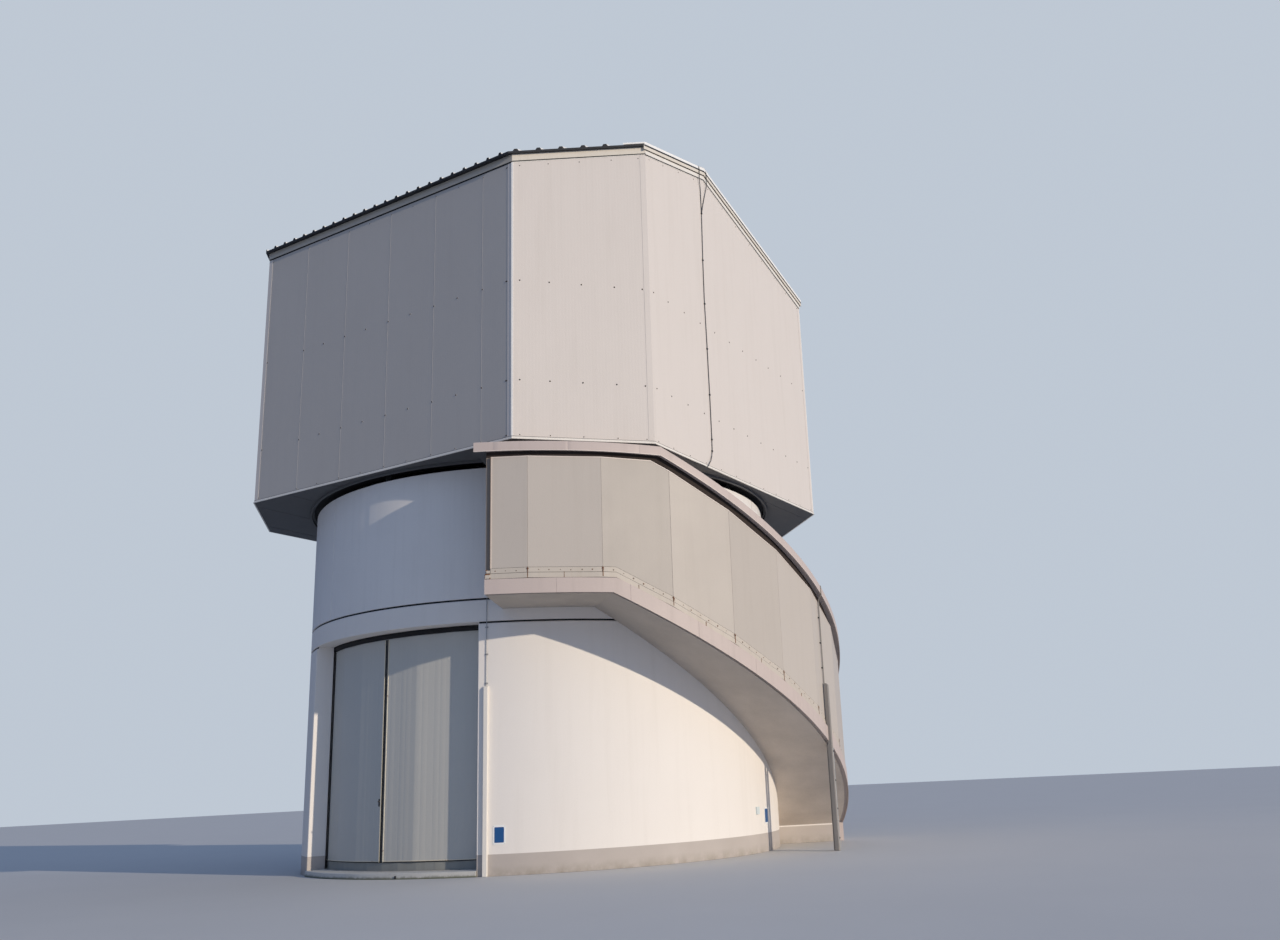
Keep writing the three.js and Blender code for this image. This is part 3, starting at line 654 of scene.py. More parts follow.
def door_frame():
    """The sill, the stop on its edge, and the dark closure under the lintel, in front of the hangers. Its
    near black is partly painted shade of the gap under the lintel.
    """
    # partly painted shade: a near-black strip where the gap under the lintel lies in shade
    closure = rect(4.1725, 4.1775, 3.862, 3.9445)
    ends = DOOR_HALF - 0.05
    make("door_head_closure", sweep(span(-ends, ends, 1.0), closure), SHADOW_SEAL)
    ends = DOOR_HALF - 0.01
    inner, top = DRUM_INNER + HAIR, high("door_sill")
    edge = [(SILL_OUT, top - 0.015), (SILL_OUT - 0.015, top - 0.004), (SILL_OUT - 0.2, top)]
    sill = [(inner, 0), (SILL_OUT, 0), *edge, (inner, top)]
    make("door_sill_finish", sweep(span(-ends, ends, 1.0), sill), SILL_CONCRETE, stands_for=["door_sill"])
    stop = block(on_drum(STOP_AZ, SILL_OUT + 0.0002, 0.03), (0.030, 0.045, 0.012), 0.9)
    bolt = dome(on_drum(STOP_AZ, SILL_OUT + 0.0122, 0.036), 0.009, 0.006)
    make("door_floor_stop", [stop, bolt], DARK_STEEL)


door_lock()
door_frame()


# Stair


def facet_radius(at_fold, az):
    turn = (az - STAIR_FOLD) / STAIR_FACET
    from_middle = (turn - math.floor(turn) - 0.5) * STAIR_FACET
    return at_fold * math.cos(math.radians(STAIR_FACET / 2)) / math.cos(math.radians(from_middle))


def falling(z, bend, lowest):
    return lambda az: max(lowest, z - FALL * max(0, az - bend))


def raised(line, rise):
    return lambda az: line(az) + rise


def facet_seams(after_fold):
    """Azimuths of seams, one for each facet."""
    return [STAIR_FOLD + after_fold + k * STAIR_FACET for k in range(-1, 10)]


FOLDS = [STAIR_FOLD + k * STAIR_FACET for k in range(10)]
LINES = (SOFFIT_LINE, FASCIA_LINE, HEAD_LINE, CAP_LINE)
soffit_z, fascia_top, head_z, cap_low = (falling(*line) for line in LINES)
BENDS = [line[1] for line in LINES]
BENDS += [bend + (z - lowest) / FALL for z, bend, lowest in LINES[1:]]


def stair_panels(name, start, end, node):
    """Flat cladding panels with an open joint at each fold."""
    joint = 0.025

    def outline(az):
        outer = facet_radius(STAIR_R, az) - (0.005 if any(abs(az - f) < joint / 2 for f in FOLDS) else 0)
        return rect(facet_radius(STAIR_R - STAIR_WALL, az), outer, fascia_top(az) + HAIR, head_z(az))

    azimuths = span(start, end - 0.004, 1.2, [*FOLDS, *beside(FOLDS, joint), *BENDS])
    make(name, sweep(azimuths, outline), STAIR_CLADDING, stands_for=[node])


stair_panels("stair_panels_landing", PANELS_FROM, FOLDS[2], "stair_wall_landing")
stair_panels("stair_panels_upper", FOLDS[2], FOLDS[6], "stair_wall_upper")
stair_panels("stair_panels_lower", FOLDS[6], STAIR_TO, "stair_wall_lower")


def stair_band(start, end, back, front, bottom_at, top_at, step=1.2):
    """A thin band on the outside of the stair's panels, between two lines along the stair."""

    def outline(az):
        r = facet_radius(STAIR_R, az)
        return rect(r + back, r + front, bottom_at(az), top_at(az))

    return sweep(span(start, end, step, [*FOLDS, *BENDS]), outline)


def strip_bands(name, finish, rows):
    """Bands over the fascia. Each row has its first azimuth, two ways out and two rises over the fascia."""
    parts = []
    for start, back, front, *rises in rows:
        lines = [raised(fascia_top, rise) for rise in rises]
        parts.append(stair_band(start, STAIR_TO, back, front, *lines))
    make(name, parts, finish)


strip_bands("stair_rivet_strip", CREAM_STRIP, [
    (PANELS_FROM, LIFT, 0.004, 0.06, STRIP_TOP),
    (STAIR_FROM, 0.0045, 0.010, 0.0095, STRIP_MIDDLE),
])
# painted shade: dark lines at the fascia's top and along the edges of the strips
strip_bands("stair_strip_shadow_lines", SCREW_AND_SHADE_BLACK, [
    (STAIR_FROM, 0.0045, 0.0085, 0.0005, 0.009),
    (PANELS_FROM, 0.0042, 0.0048, STRIP_MIDDLE + 0.0005, STRIP_MIDDLE + 0.0065),
    (PANELS_FROM, LIFT, 0.002, STRIP_TOP + 0.0005, STRIP_TOP + 0.0045),
])


def rivets():
    """Small rusted rivets along the upper strip, not all of one size."""
    random.seed(7)
    pitch = STAIR_FACET / 7
    heads = []
    for k in range(int((STAIR_TO - PANELS_FROM) / pitch)):
        az = PANELS_FROM + 0.75 + k * pitch + random.uniform(-0.12, 0.12)
        size = random.choice((0.008, 0.010, 0.012, 0.014))
        z = fascia_top(az) + 0.13 + random.uniform(-0.006, 0.006)
        heads.append(dome(on_drum(az, facet_radius(STAIR_R, az) + 0.004, z), size, 0.5 * size))
    make("stair_rivets", heads, RIVET_RUST)


rivets()


def joint_straps():
    """Rusted straps over the strips: a clamp at each fold of the panels, and a shorter one between folds."""
    random.seed(4)
    parts = []

    def strap(az, half, foot, top):
        lines = raised(fascia_top, foot), raised(fascia_top, top)
        parts.append(stair_band(az - half, az + half, 0.0102, 0.0125, *lines, 0.1))

    for az in FOLDS:
        strap(az, random.uniform(0.045, 0.075), random.uniform(0.0, 0.03), STRIP_TOP + 0.004)
        strap(az, random.uniform(0.13, 0.2), STRIP_TOP - 0.028, STRIP_TOP - 0.012)
        middle = az + STAIR_FACET / 2 + random.uniform(-0.3, 0.3)
        if middle < STAIR_TO - 1:
            strap(middle, random.uniform(0.04, 0.07), random.uniform(0.0, 0.02), random.uniform(0.07, 0.10))
    make("stair_joint_straps", parts, RUSTY_STRIP)


joint_straps()


def landing_bracket(name, finish, rows):
    """Angles at the end of the landing's strips. Each row has azimuth, way out, rise and size."""
    r = facet_radius(STAIR_R, STAIR_FROM)
    plates = [block(on_drum(az, r + out, fascia_top(az) + z), size) for az, out, z, *size in rows]
    make(name, plates, finish, bevel=0.002)


landing_bracket("landing_bracket", CREAM_STRIP, [
    (31.60, 0.004, 0.042, 0.074, 0.058, 0.016),
    (31.66, 0.002, 0.118, 0.052, 0.042, 0.014),
])
landing_bracket("landing_bracket_edges", RUSTY_STRIP, [
    (31.60, 0.003, 0.081, 0.078, 0.020, 0.020),
    (31.22, 0.002, 0.040, 0.010, 0.068, 0.017),
    (31.42, 0.002, 0.146, 0.030, 0.014, 0.014),
    (31.95, 0.004, 0.018, 0.016, 0.024, 0.018),
])


def panel_edges():
    """The bright edges at the panels' heads and first corner. Painted shade: a dark sheet over the panels'
    shaded end beside that corner.
    """
    head = stair_band(PANELS_FROM, STAIR_TO, LIFT, 0.004, raised(head_z, -0.016), head_z)
    make("stair_panel_head", head, TRIM_EDGE)
    foot = raised(fascia_top, STRIP_TOP)
    # painted shade: a dark sheet over the end of the panels
    seal = rect(STAIR_R - STAIR_WALL, STAIR_R - 0.004, foot(PANELS_FROM), head_z(PANELS_FROM))
    make("stair_panel_end_shade", sweep([PANELS_FROM - 0.04, PANELS_FROM - 0.005], seal), END_WALL)
    corner = stair_band(PANELS_FROM, PANELS_FROM + 0.15, LIFT, 0.005, foot, raised(head_z, -0.018))
    make("stair_panel_corner", corner, TRIM_EDGE)


panel_edges()


def fascia():
    """The curved edge of the slab, with a lip that hides a drip groove, and upright seams."""
    seams = facet_seams(4.2)
    lip, ease = 0.012, 0.006

    def outline(az):
        top = fascia_top(az)
        bottom = 0.0 if az > CLOSING else soffit_z(az)
        groove = bottom + (0 if az > CLOSING else 0.035)
        outer = FASCIA_OUTER - (0.004 if az in seams else 0)
        under = [(FASCIA_INNER, groove), (outer - lip, groove), (outer - lip, bottom), (outer, bottom)]
        return [*under, (outer, top - ease), (outer - ease, top), (FASCIA_INNER, top)]

    breaks = [*seams, *beside(seams, 0.04), *BENDS, CLOSING, CLOSING + 0.01]
    shape = sweep(span(STAIR_FROM, STAIR_TO, 1.0, breaks), outline)
    make("stair_fascia_finish", shape, WARM_TRIM, stands_for=["stair_fascia"])


fascia()


def stair_slab(name, azimuths, top_at, node):
    """A piece of the slab, with shallow marks of the formwork boards under its low part."""

    def outline(az):
        mark = 0.004 if az > 100 and round(az / 0.65) % 2 else 0.0
        return rect(CAP_INNER, SLAB_OUT, soffit_z(az) + mark, top_at(az))

    make(name, sweep(azimuths, outline), SOFFIT_CONCRETE, stands_for=[node])


def flight(name, first, last, node):
    start = FIRST_RISER + (first - 1) * TREAD + 0.004
    end = FIRST_RISER + last * TREAD - 0.004
    risers = [FIRST_RISER + (k - 1) * TREAD for k in range(first + 1, last + 1)]

    def tread_z(az):
        steps = 1 + math.floor((az - FIRST_RISER) / TREAD + 1e-6)
        return LANDING_Z - min(max(steps, first), last) * RISER

    stair_slab(name, span(start, end, 0.65, [*risers, *(az - 0.02 for az in risers)]), tread_z, node)


landing = span(STAIR_FROM, FIRST_RISER - 0.004, 1.0, BENDS)
stair_slab("stair_landing_slab", landing, lambda az: LANDING_Z, "stair_landing")
flight("stair_steps_upper", 1, RISERS // 2, "stair_flight_upper")
flight("stair_steps_lower", RISERS // 2 + 1, RISERS - 1, "stair_flight_lower")


def stair_cap(name, start, end, node):
    """The stair's roof with its rounded outer band, which stands over a shadow gap."""
    seams = facet_seams(6.1)
    ease, band = 0.014, 0.018

    def outline(az):
        bottom = cap_low(az)
        top, under = bottom + CAP_DEPTH, bottom + 0.02
        outer = CAP_OUTER - (0.002 if az in seams else 0)
        neck = head_z(az) + HAIR if STAIR_FROM <= az <= STAIR_TO else bottom + 0.0195
        return [
            (CAP_INNER, under), (CAP_NECK_IN, under), (CAP_NECK_IN, neck), (CAP_NECK_OUT, neck),
            (CAP_NECK_OUT, under), (outer - band, under), (outer - band, bottom), (outer - 0.003, bottom),
            (outer, bottom + 0.004), (outer, top - ease), (outer - 0.3 * ease, top - 0.3 * ease),
            (outer - ease, top - 0.004), (CAP_INNER, top - 0.002),
        ]

    ends = [STAIR_FROM - 0.01, STAIR_FROM, STAIR_TO, STAIR_TO + 0.01]
    azimuths = span(start, end - 0.004, 1.0, [*seams, *beside(seams, 0.05), *BENDS, *ends])
    make(name, sweep(azimuths, outline), WARM_TRIM, stands_for=[node])


stair_cap("stair_cap_upper", STAIR_FROM - CAP_OVERHANG, FOLDS[4], "stair_roof_upper")
stair_cap("stair_cap_lower", FOLDS[4], STAIR_TO + CAP_OVERHANG, "stair_roof_lower")


def cap_trims():
    """Painted shade: a black band over the gap under the cap. The bright fold along its foot. Painted shade:
    dark sheets under the overhang at its ends.
    """

    def gap(az):
        return rect(CAP_NECK_OUT + LIFT, CAP_NECK_OUT + 0.008, head_z(az) + 0.0006, cap_low(az) + 0.0197)

    def fold(az):
        return rect(CAP_OUTER + HAIR, CAP_OUTER + 0.0015, cap_low(az) + 0.001, cap_low(az) + 0.012)

    def shaded_end_sheet(az):
        return rect(CAP_INNER + 0.02, CAP_OUTER - 0.019, cap_low(az) + 0.014, cap_low(az) + 0.0197)

    start, end, inset = STAIR_FROM - CAP_OVERHANG, STAIR_TO + CAP_OVERHANG, 0.02
    shaded_end_sheets = [(start + inset, STAIR_FROM - inset), (STAIR_TO + inset, end - inset)]
    # painted shade over the open gap under the cap, and under the cap's ends
    make("stair_cap_gap_shade", sweep(span(STAIR_FROM, STAIR_TO, 1.0, BENDS), gap), SCREW_AND_SHADE_BLACK)
    make("stair_cap_end_shade", [sweep(span(*ends, 1.0), shaded_end_sheet) for ends in shaded_end_sheets], DARK_SOFFIT)
    make("stair_cap_fold", sweep(span(start, end, 1.0, BENDS), fold), TRIM_EDGE)


cap_trims()


# Conductors, covers and plates


def bar(name, az, stops, radius, finish, sides=10):
    """A round bar at one azimuth, along (radius, height) stops."""
    make(name, tube([place(az, r, z) for r, z in stops], radius, sides), finish)


def clips(name, az, r, heights, width, finish):
    """Small saddles that hold a round bar on a wall."""
    parts = []
    for z in heights:
        at = on_drum(az, r, z)
        parts.append(block(at, (width, 0.022, 0.010)))
        parts.append(block(shifted(at, 0, 0, 0.010), (0.6 * width, 0.022, 0.014), 0.7))
    make(name, parts, finish)


def cover(node, az, base_r, size, top, finish):
    """A folded sheet cover with a slanted head."""
    width, depth = size
    at = facing(place(az, base_r, 0), place(az, 1, 0))
    outline = [(-width / 2, 0), (-width / 2 + 0.006, depth), (width / 2 - 0.006, depth), (width / 2, 0)]
    rings = ((0.0, 1), (top - 0.03, 1), (top, 0.55))
    shape = loft([[at @ Vector((x, y, d * share)) for x, d in outline] for y, share in rings])
    make(node + "_finish", shape, finish, stands_for=[node], bevel=0.004)


def door_conductor():
    r = DRUM_R + 0.016
    stops = [(DRUM_R - 0.02, 4.338), (DRUM_R + 0.014, 4.325), (r, 4.2), (r, 4.1), (r, 2.88)]
    bar("door_conductor_bar", DOOR_BAR_AZ, stops, 0.006, GALVANISED)
    clips("door_conductor_clips", DOOR_BAR_AZ, DRUM_R, (3.85, 3.41, 2.945), 0.05, GALVANISED)
    cover("conductor_cover_door", DOOR_BAR_AZ, DRUM_R - 0.002, (0.08, 0.06), 2.9, PALE_TRIM)


def stair_conductor():
    foot = cap_low(STAIR_BAR_AZ)
    top = foot + CAP_DEPTH
    face = facet_radius(STAIR_R, STAIR_BAR_AZ)
    edge = CAP_OUTER + 0.004
    over_cap = [(CAP_OUTER - 0.5, top + 0.006), (CAP_OUTER - 0.03, top + 0.006), (edge, top - 0.012)]
    down = [(edge, foot - 0.02), (face + 0.03, foot - 0.09), (face + 0.022, foot - 0.2)]
    cover("conductor_cover_stair", STAIR_BAR_AZ, 5.846, (0.08, 0.07), 2.87, COVER_GREY)
    bar("stair_conductor_bar", STAIR_BAR_AZ, [*over_cap, *down, (face + 0.022, 2.85)], 0.011, COVER_GREY)
    clips("stair_conductor_clips", STAIR_BAR_AZ, face, (4.06, 3.60, 3.15), 0.075, SHADOW_SEAL)


def drain_tube():
    az, r = 98.35, 5.89
    bar("stair_drain_tube", az, [(r, z) for z in (1.74, 1.2, 0.6, 0.0)], 0.021, GALVANISED, 14)
    clamps = []
    for z in (1.68, 1.18, 0.70, 0.21):
        at = facing(place(az - 0.25, r - 0.004, z), place(az, 1, 0))
        clamps.append(block(shifted(at, 0, 0, -0.026), (0.10, 0.03, 0.052)))
    make("stair_drain_clamps", clamps, DARK_STEEL, bevel=0.004)


door_conductor()
stair_conductor()
drain_tube()


def rounded_plate(az, z, width, height, corner, back, front):
    """A thin plate with rounded corners, bent to the drum. Back and front are ways out from the wall."""
    steps = 4
    near = [corner * (1 - math.cos(math.pi / 2 * k / steps)) for k in range(steps + 1)]
    sections = []
    for s in [-width / 2 + d for d in near] + [width / 2 - d for d in reversed(near)]:
        edge = width / 2 - abs(s)
        cut = corner - math.sqrt(max(0.0, corner**2 - (corner - edge) ** 2)) if edge < corner else 0.0
        half = height / 2 - cut
        turned = az + math.degrees(s / DRUM_R)
        outline = rect(DRUM_R + back, DRUM_R + front, z - half, z + half)
        sections.append([place(turned, r, level) for r, level in outline])
    return loft(sections)


def plate(name, az, z):
    """An enamelled plate without words: a blue field in a white border."""
    width, height, border = PLATE["width"], PLATE["height"], PLATE["border"]
    make(name + "_border", rounded_plate(az, z, width, height, 0.022, LIFT, 0.006), WHITE_ENAMEL)
    field = rounded_plate(az, z, width - 2 * border, height - 2 * border, 0.010, 0.0062, 0.0072)
    make(name + "_field", field, BLUE_ENAMEL)
    across = math.degrees((width - border) / 2 / DRUM_R)
    signs = ((-1, -1), (-1, 1), (1, -1), (1, 1))
    places = [on_drum(az + sx * across, DRUM_R + 0.006, z + sz * (height - border) / 2) for sx, sz in signs]
    make(name + "_screws", [dome(at, 0.005, 0.003) for at in places], GALVANISED)


plate("plate_by_door", 30.7, PLATE["z_door"])
plate("plate_by_stair", 100.4, PLATE["z_stair"])
switch_at = shifted(on_drum(95.0, DRUM_R - 0.002, 0.655), 0, 0.067, 0)
make("switch_box", block(switch_at, (0.11, 0.134, 0.035), 0.95), PALE_PLASTIC, bevel=0.006)


# Turning enclosure


def roof_z(y):
    return RIDGE_Z - ((RIDGE_Y - y) * FRONT_SLOPE if y < RIDGE_Y else (y - RIDGE_Y) * BACK_SLOPE)


def plan_corners():
    """Corners of the eight-sided plan, anticlockwise from the front right one."""
    cut = HALF - CHAMFER
    right = [(HALF, -cut), (HALF, cut), (cut, HALF), (-cut, HALF)]
    return [Vector((x * sign, y * sign, 0)) for sign in (1, -1) for x, y in right]


CORNERS = plan_corners()


class Side:
    """One side of the enclosure: places on it by the way along it, out from it and up."""

    NAMES = ("right", "back_right", "back", "back_left", "left", "front_left", "front", "front_right")
    FIRST_SEAM = (0.578, 0.6, 1.13, 0.6)

    def __init__(self, k):
        self.name = self.NAMES[k]
        self.start = CORNERS[k]
        step = CORNERS[(k + 1) % 8] - self.start
        self.length = step.length
        self.along = step.normalized()
        self.out = Vector((self.along.y, -self.along.x, 0))
        first = self.FIRST_SEAM[k % 4]
        count = int((self.length - 0.35 - first) / SEAM_PITCH) + 1
        self.seams = [first + i * SEAM_PITCH for i in range(count)]
        self.gable = k in (0, 4)
        self.long_eave = k in (2, 6)

    def at(self, s, out, z):
        """A place on the side, mitred where s is at an end of it."""
        if s <= 0:
            s -= out * MITRE
        elif s >= self.length:
            s += out * MITRE
        return TURNED @ (self.start + self.along * s + self.out * out + Vector((0, 0, z)))

    def roof(self, s):
        return roof_z((self.start + self.along * s).y)

    def stops(self):
        """Ways along the side where its top line or its plan bends."""
        ridge = [(RIDGE_Y - self.start.y) / self.along.y] if self.gable else []
        return sorted({0.0, self.length, *ridge})

    def matrix(self, s, out, z):
        return facing(self.at(s, out, z), TURNED.to_3x3() @ self.out)

    def section(self, s, outline):
        return [self.at(s, out, z) for out, z in outline]

    def band(self, back, front, bottom, top, hang=True):
        """A strip along the side. Its heights hang from the roof's line, or are plain heights."""
        sections = []
        for s in self.stops():
            base = self.roof(s) if hang else 0
            sections.append(self.section(s, rect(back, front, base + bottom, base + top)))
        return loft(sections)


SIDES = [Side(k) for k in range(8)]
GABLES = [side for side in SIDES if side.gable]
LONG_EAVES = [side for side in SIDES if side.long_eave]
CUT_CORNERS = [side for side in SIDES if not side.gable and not side.long_eave]


def make_turning(name, shape, finish, stands_for=(), sharp=32, bevel=0):
    make(name, shape, finish, "enclosure", stands_for, sharp, bevel)


def cladding(side):
    """A wall of panels with faint upright ribs. Seams of the long walls have a lip between two grooves."""
    rib_pitch, rib_half, rib_depth = 0.055, 0.012, 0.0003
    seams = side.seams if side.long_eave else []
    profile = {0.0: 0.0, side.length: 0.0}
    s = CORNER_LEG
    while s < side.length - CORNER_LEG:
        if not any(-0.06 < s - seam < 0.04 for seam in seams):
            profile.update({s - rib_half: 0.0, s: -rib_depth, s + rib_half: 0.0})
        s += rib_pitch
    for seam in seams:
        profile.update({seam + way * x: out for x, out in SEAM_PROFILE for way in (-1, 1)})
    for s in side.stops():
        profile.setdefault(s, 0.0)
    sections = []
    for s in sorted(profile):
        out, top = profile[s], side.roof(s) - HAIR
        outline = [(out, WALLS_BOTTOM), (out, top), (-PANEL, top), (-PANEL, WALLS_BOTTOM)]
        sections.append(side.section(s, outline))
    # painted shade: the long walls take the darker copy of the cladding
    finish = SHADED_FRONT_CLADDING if side.long_eave else CLADDING
    make_turning("cladding_" + side.name, loft(sections), finish, ["enclosure_wall_" + side.name], 20)


for side in SIDES:
    cladding(side)


def seam_lips():
    """The narrow lips at the seams of the long walls."""

    def section(side, s):
        return side.section(s, rect(0.0006, 0.002, WALLS_BOTTOM, side.roof(s) - 0.1))

    lips = []
    for side in LONG_EAVES:
        lips += [loft([section(side, s) for s in beside([seam], 0.002)]) for seam in side.seams]
    # painted shade: the lips take the darker copy of the cladding
    make_turning("seam_lips", lips, SHADED_FRONT_CLADDING)


seam_lips()


def corner_flashings():
    """Folded strips that cover the upright corners, with a bead on every other corner."""
    thick, bead, half_bead = 0.004, 0.011, 0.015
    lap = ((CORNER_LEG, LIFT), (CORNER_LEG, thick), (0, thick))
    crest = ((half_bead, thick + HAIR), (0.7 * half_bead, bead))
    strips = []
    beads = []

    def folded(k, top, way_out, inner):
        """A strip over a corner. Way_out lists ways from the corner and out on one side, up to its fold."""
        side, before = SIDES[k], SIDES[k - 1]
        sections = []
        for z in (WALLS_BOTTOM, top):
            first = [before.at(before.length - s, out, z) for s, out in way_out]
            second = [side.at(s, out, z) for s, out in reversed(way_out) if s]
            sections.append([*first, *second, side.at(0, inner, z)])
        return loft(sections)

    for k, side in enumerate(SIDES):
        top = side.roof(0) - 0.09
        strips.append(folded(k, top, lap, LIFT))
        if k % 2:
            beads.append(folded(k, top, crest, thick + HAIR))
    make_turning("corner_flashings", strips, CLADDING)
    make_turning("corner_beads", beads, WHITE_TRIM)


corner_flashings()


def flashing(name, sides, thick, heights, finish):
    """Flashings under the roof along some sides."""
    make_turning(name, [side.band(LIFT, thick, *heights) for side in sides], finish, bevel=0.003)


flashing("eave_flashing", CUT_CORNERS, 0.015, EAVE_BAND, CREAM_BAND)
# painted shade: the long eaves take the darker copy of the band
flashing("eave_flashing_long", LONG_EAVES, 0.015, EAVE_BAND, SHADED_FRONT_BAND)
flashing("gable_flashing", GABLES, 0.018, GABLE_BAND, PALE_TRIM)


def under(sides, foot, height, out=0.006):
    """Lines along sides, right under a strip whose foot is given."""
    return [side.band(0.0004, out, foot - HAIR - height, foot - HAIR) for side in sides]


def flashing_lines():
    """Painted shadow: dark lines under the flashings. Then the pale edges of the panels under them."""
    eave, gable, seal = EAVE_BAND[0], GABLE_BAND[0], 0.014
    # painted shadow: dark lines under the eave and gable flashings
    seals = under(LONG_EAVES, eave, 0.026) + under(CUT_CORNERS, eave, seal)
    seals += under(GABLES, gable, seal) + under(GABLES, 0.0, 0.0114, 0.014)
    make_turning("flashing_shadow_lines", seals, SHADOW_SEAL)
    below = seal + LIFT
    edges = under(CUT_CORNERS, eave - below, 0.012, 0.004) + under(GABLES, gable - below, 0.012, 0.004)
    make_turning("cladding_edges", edges, PALE_TRIM)


flashing_lines()


def drip_trim():
    """The trim along the foot of the walls: a folded strip, its drip and the seal over it."""
    parts = []
    seals = []
    for side in SIDES:
        parts.append(side.band(LIFT, 0.008, SOFFIT_Z + 0.002, SOFFIT_Z + 0.042, False))
        parts.append(side.band(0.0082, 0.022, SOFFIT_Z, SOFFIT_Z + 0.012, False))
        seals.append(side.band(0.0004, 0.0055, SOFFIT_Z + 0.0423, SOFFIT_Z + 0.049, False))
    make_turning("drip_trim", parts, PALE_TRIM)
    make_turning("drip_trim_seal", seals, DARK_STEEL)


drip_trim()


def wall_screws():
    """Screws of the cladding on bright washers, in rows along its rails, by the seams and midway."""
    edge_size, washer_r, head_r = 0.68, 0.0165, 0.0138
    edge, by_seam, midway, below_roof = 0.125, 0.012, 0.55, 0.16
    rows = ((6.745, edge_size), (7.68, 1.0), (9.44, 1.0))
    heads = []
    washers = []
    for side in SIDES:
        across = [edge, side.length - edge]
        for seam in side.seams:
            across += [seam + by_seam, seam + midway]
        for s in across:
            if not 0.1 < s < side.length - 0.1:
                continue
            for z, size in (*rows, (side.roof(s) - below_roof, edge_size)):
                washers.append(dome(side.matrix(s, 0.0, z), washer_r * size, 0.003))
                heads.append(dome(side.matrix(s, 0.0026, z), head_r * size, 0.006))
    make_turning("wall_screws", heads, SCREW_AND_SHADE_BLACK)
    make_turning("wall_washers", washers, PALE_TRIM)


wall_screws()


def soffit_strips():
    """Cover strips along the joints between the soffit's boards."""
    width, thick, clear = 0.05, 0.0038, 0.01
    strips = []
    for k in range(-4, 5):
        x = k * SOFFIT_BOARD
        reach = min(HALF - 0.03, 2 * HALF - CHAMFER - abs(x) - 0.05)
        inside = math.sqrt(max(0, (OPENING_R + clear) ** 2 - x * x)) if abs(x) < OPENING_R else 0
        if reach - inside < 0.05:
            continue
        for sign in (-1, 1):
            at = shifted(TURNED, x, sign * (reach + inside) / 2, SOFFIT_Z - 0.004)
            strips.append(block(at, (width, reach - inside, thick)))
    make_turning("soffit_strips", strips, DARK_SOFFIT)


def opening_ring():
    """The ring at the soffit's opening, and the lip under it."""
    node = "enclosure_opening_ring"
    foot, head = low(node), high(node)
    outer, inner, ease = OPENING_R - HAIR, 4.56, 0.004
    ring = [(inner, foot + ease), (inner + ease, foot), (outer, foot), (outer, head), (inner, head)]
    make_turning("opening_ring_finish", sweep(AROUND, ring, True), DARK_SOFFIT, [node])
    lip = rect(4.605, OPENING_R - 0.001, foot - 0.042, foot - HAIR)
    make_turning("opening_ring_lip", sweep(AROUND, lip, True), DARK_SOFFIT)


soffit_strips()
opening_ring()


# Roof

HALF_X = HALF + RAKE_OUT
CUT = 2 * HALF - CHAMFER + CHAMFER_OUT * math.sqrt(2)


def eave_y(x, sign):
    """Where the roof's sheet ends in front (-1) or behind (1), on the cut corner's line or the eave's."""
    return sign * min(HALF + EAVE_OUT, CUT - abs(x))


def on_roof(x, outline):
    """A section across the roof's line: places along it and heights over it."""
    return [TURNED @ Vector((x, y, roof_z(y) + z)) for y, z in outline]


def rib_stations():
    """Places across the sheet, and heights there, of its flats and its ribs."""
    count = int((HALF_X - VERGE - RIB["foot"] - RIB["first"]) / RIB["pitch"]) + 1
    stations = {}
    for c in [RIB["first"] + k * RIB["pitch"] for k in range(count)]:
        for sign in (-1, 1):
            stations[c + sign * RIB["foot"]] = SHEET_TOP
            stations[c + sign * RIB["head"]] = RIB["top"]
    bend = CUT - HALF - EAVE_OUT
    for x in (0.001 - HALF_X, HALF_X - 0.001, -bend, bend):
        stations.setdefault(x, SHEET_TOP)
    return stations


def roof_slope(name, sign, node):
    """A slope of ribbed pale sheet over a dark body, whose dark end shows along the eave."""
    stations = rib_stations()
    ridge = RIDGE_Y + sign * 0.001
    body = []
    skin = []
    for x in sorted(stations):
        y = eave_y(x, sign)
        top = stations[x] - SKIN
        body.append(on_roof(x, rect(ridge, y, SHEET_BASE, top)))
        skin.append(on_roof(x, rect(ridge, y - sign * 0.006, top + 0.0001, stations[x])))
    make_turning(name, loft(body), DARK_ROOF, [node], 20)
    make_turning(name + "_skin", loft(skin), ROOF_SHEET, sharp=20)


roof_slope("roof_sheet_front", -1, "roof_front")
roof_slope("roof_sheet_back", 1, "roof_back")


def roof_core():
    """The roof's build-up under the sheet, behind the flashings."""
    parts = []
    for sign in (-1, 1):
        sections = []
        for x in (-HALF, -HALF + CHAMFER, HALF - CHAMFER, HALF):
            y = sign * min(HALF, 2 * HALF - CHAMFER - abs(x))
            sections.append(on_roof(x, rect(RIDGE_Y + sign * 0.001, y, 0.0, SHEET_BASE - 0.0002)))
        parts.append(loft(sections))
    make_turning("roof_core", parts, DARK_SOFFIT)


roof_core()


def along_gables(name, profile, finish):
    """A strip along both gables, from a profile of places across the roof and heights over it."""
    parts = []
    for x_sign in (-1, 1):
        for sign in (-1, 1):
            eave = [on_roof(x_sign * x, [(eave_y(x, sign), z)])[0] for x, z in profile]
            ridge = [on_roof(x_sign * x, [(RIDGE_Y, z)])[0] for x, z in profile]
            parts.append(loft([eave, ridge]))
    make_turning(name, parts, finish)


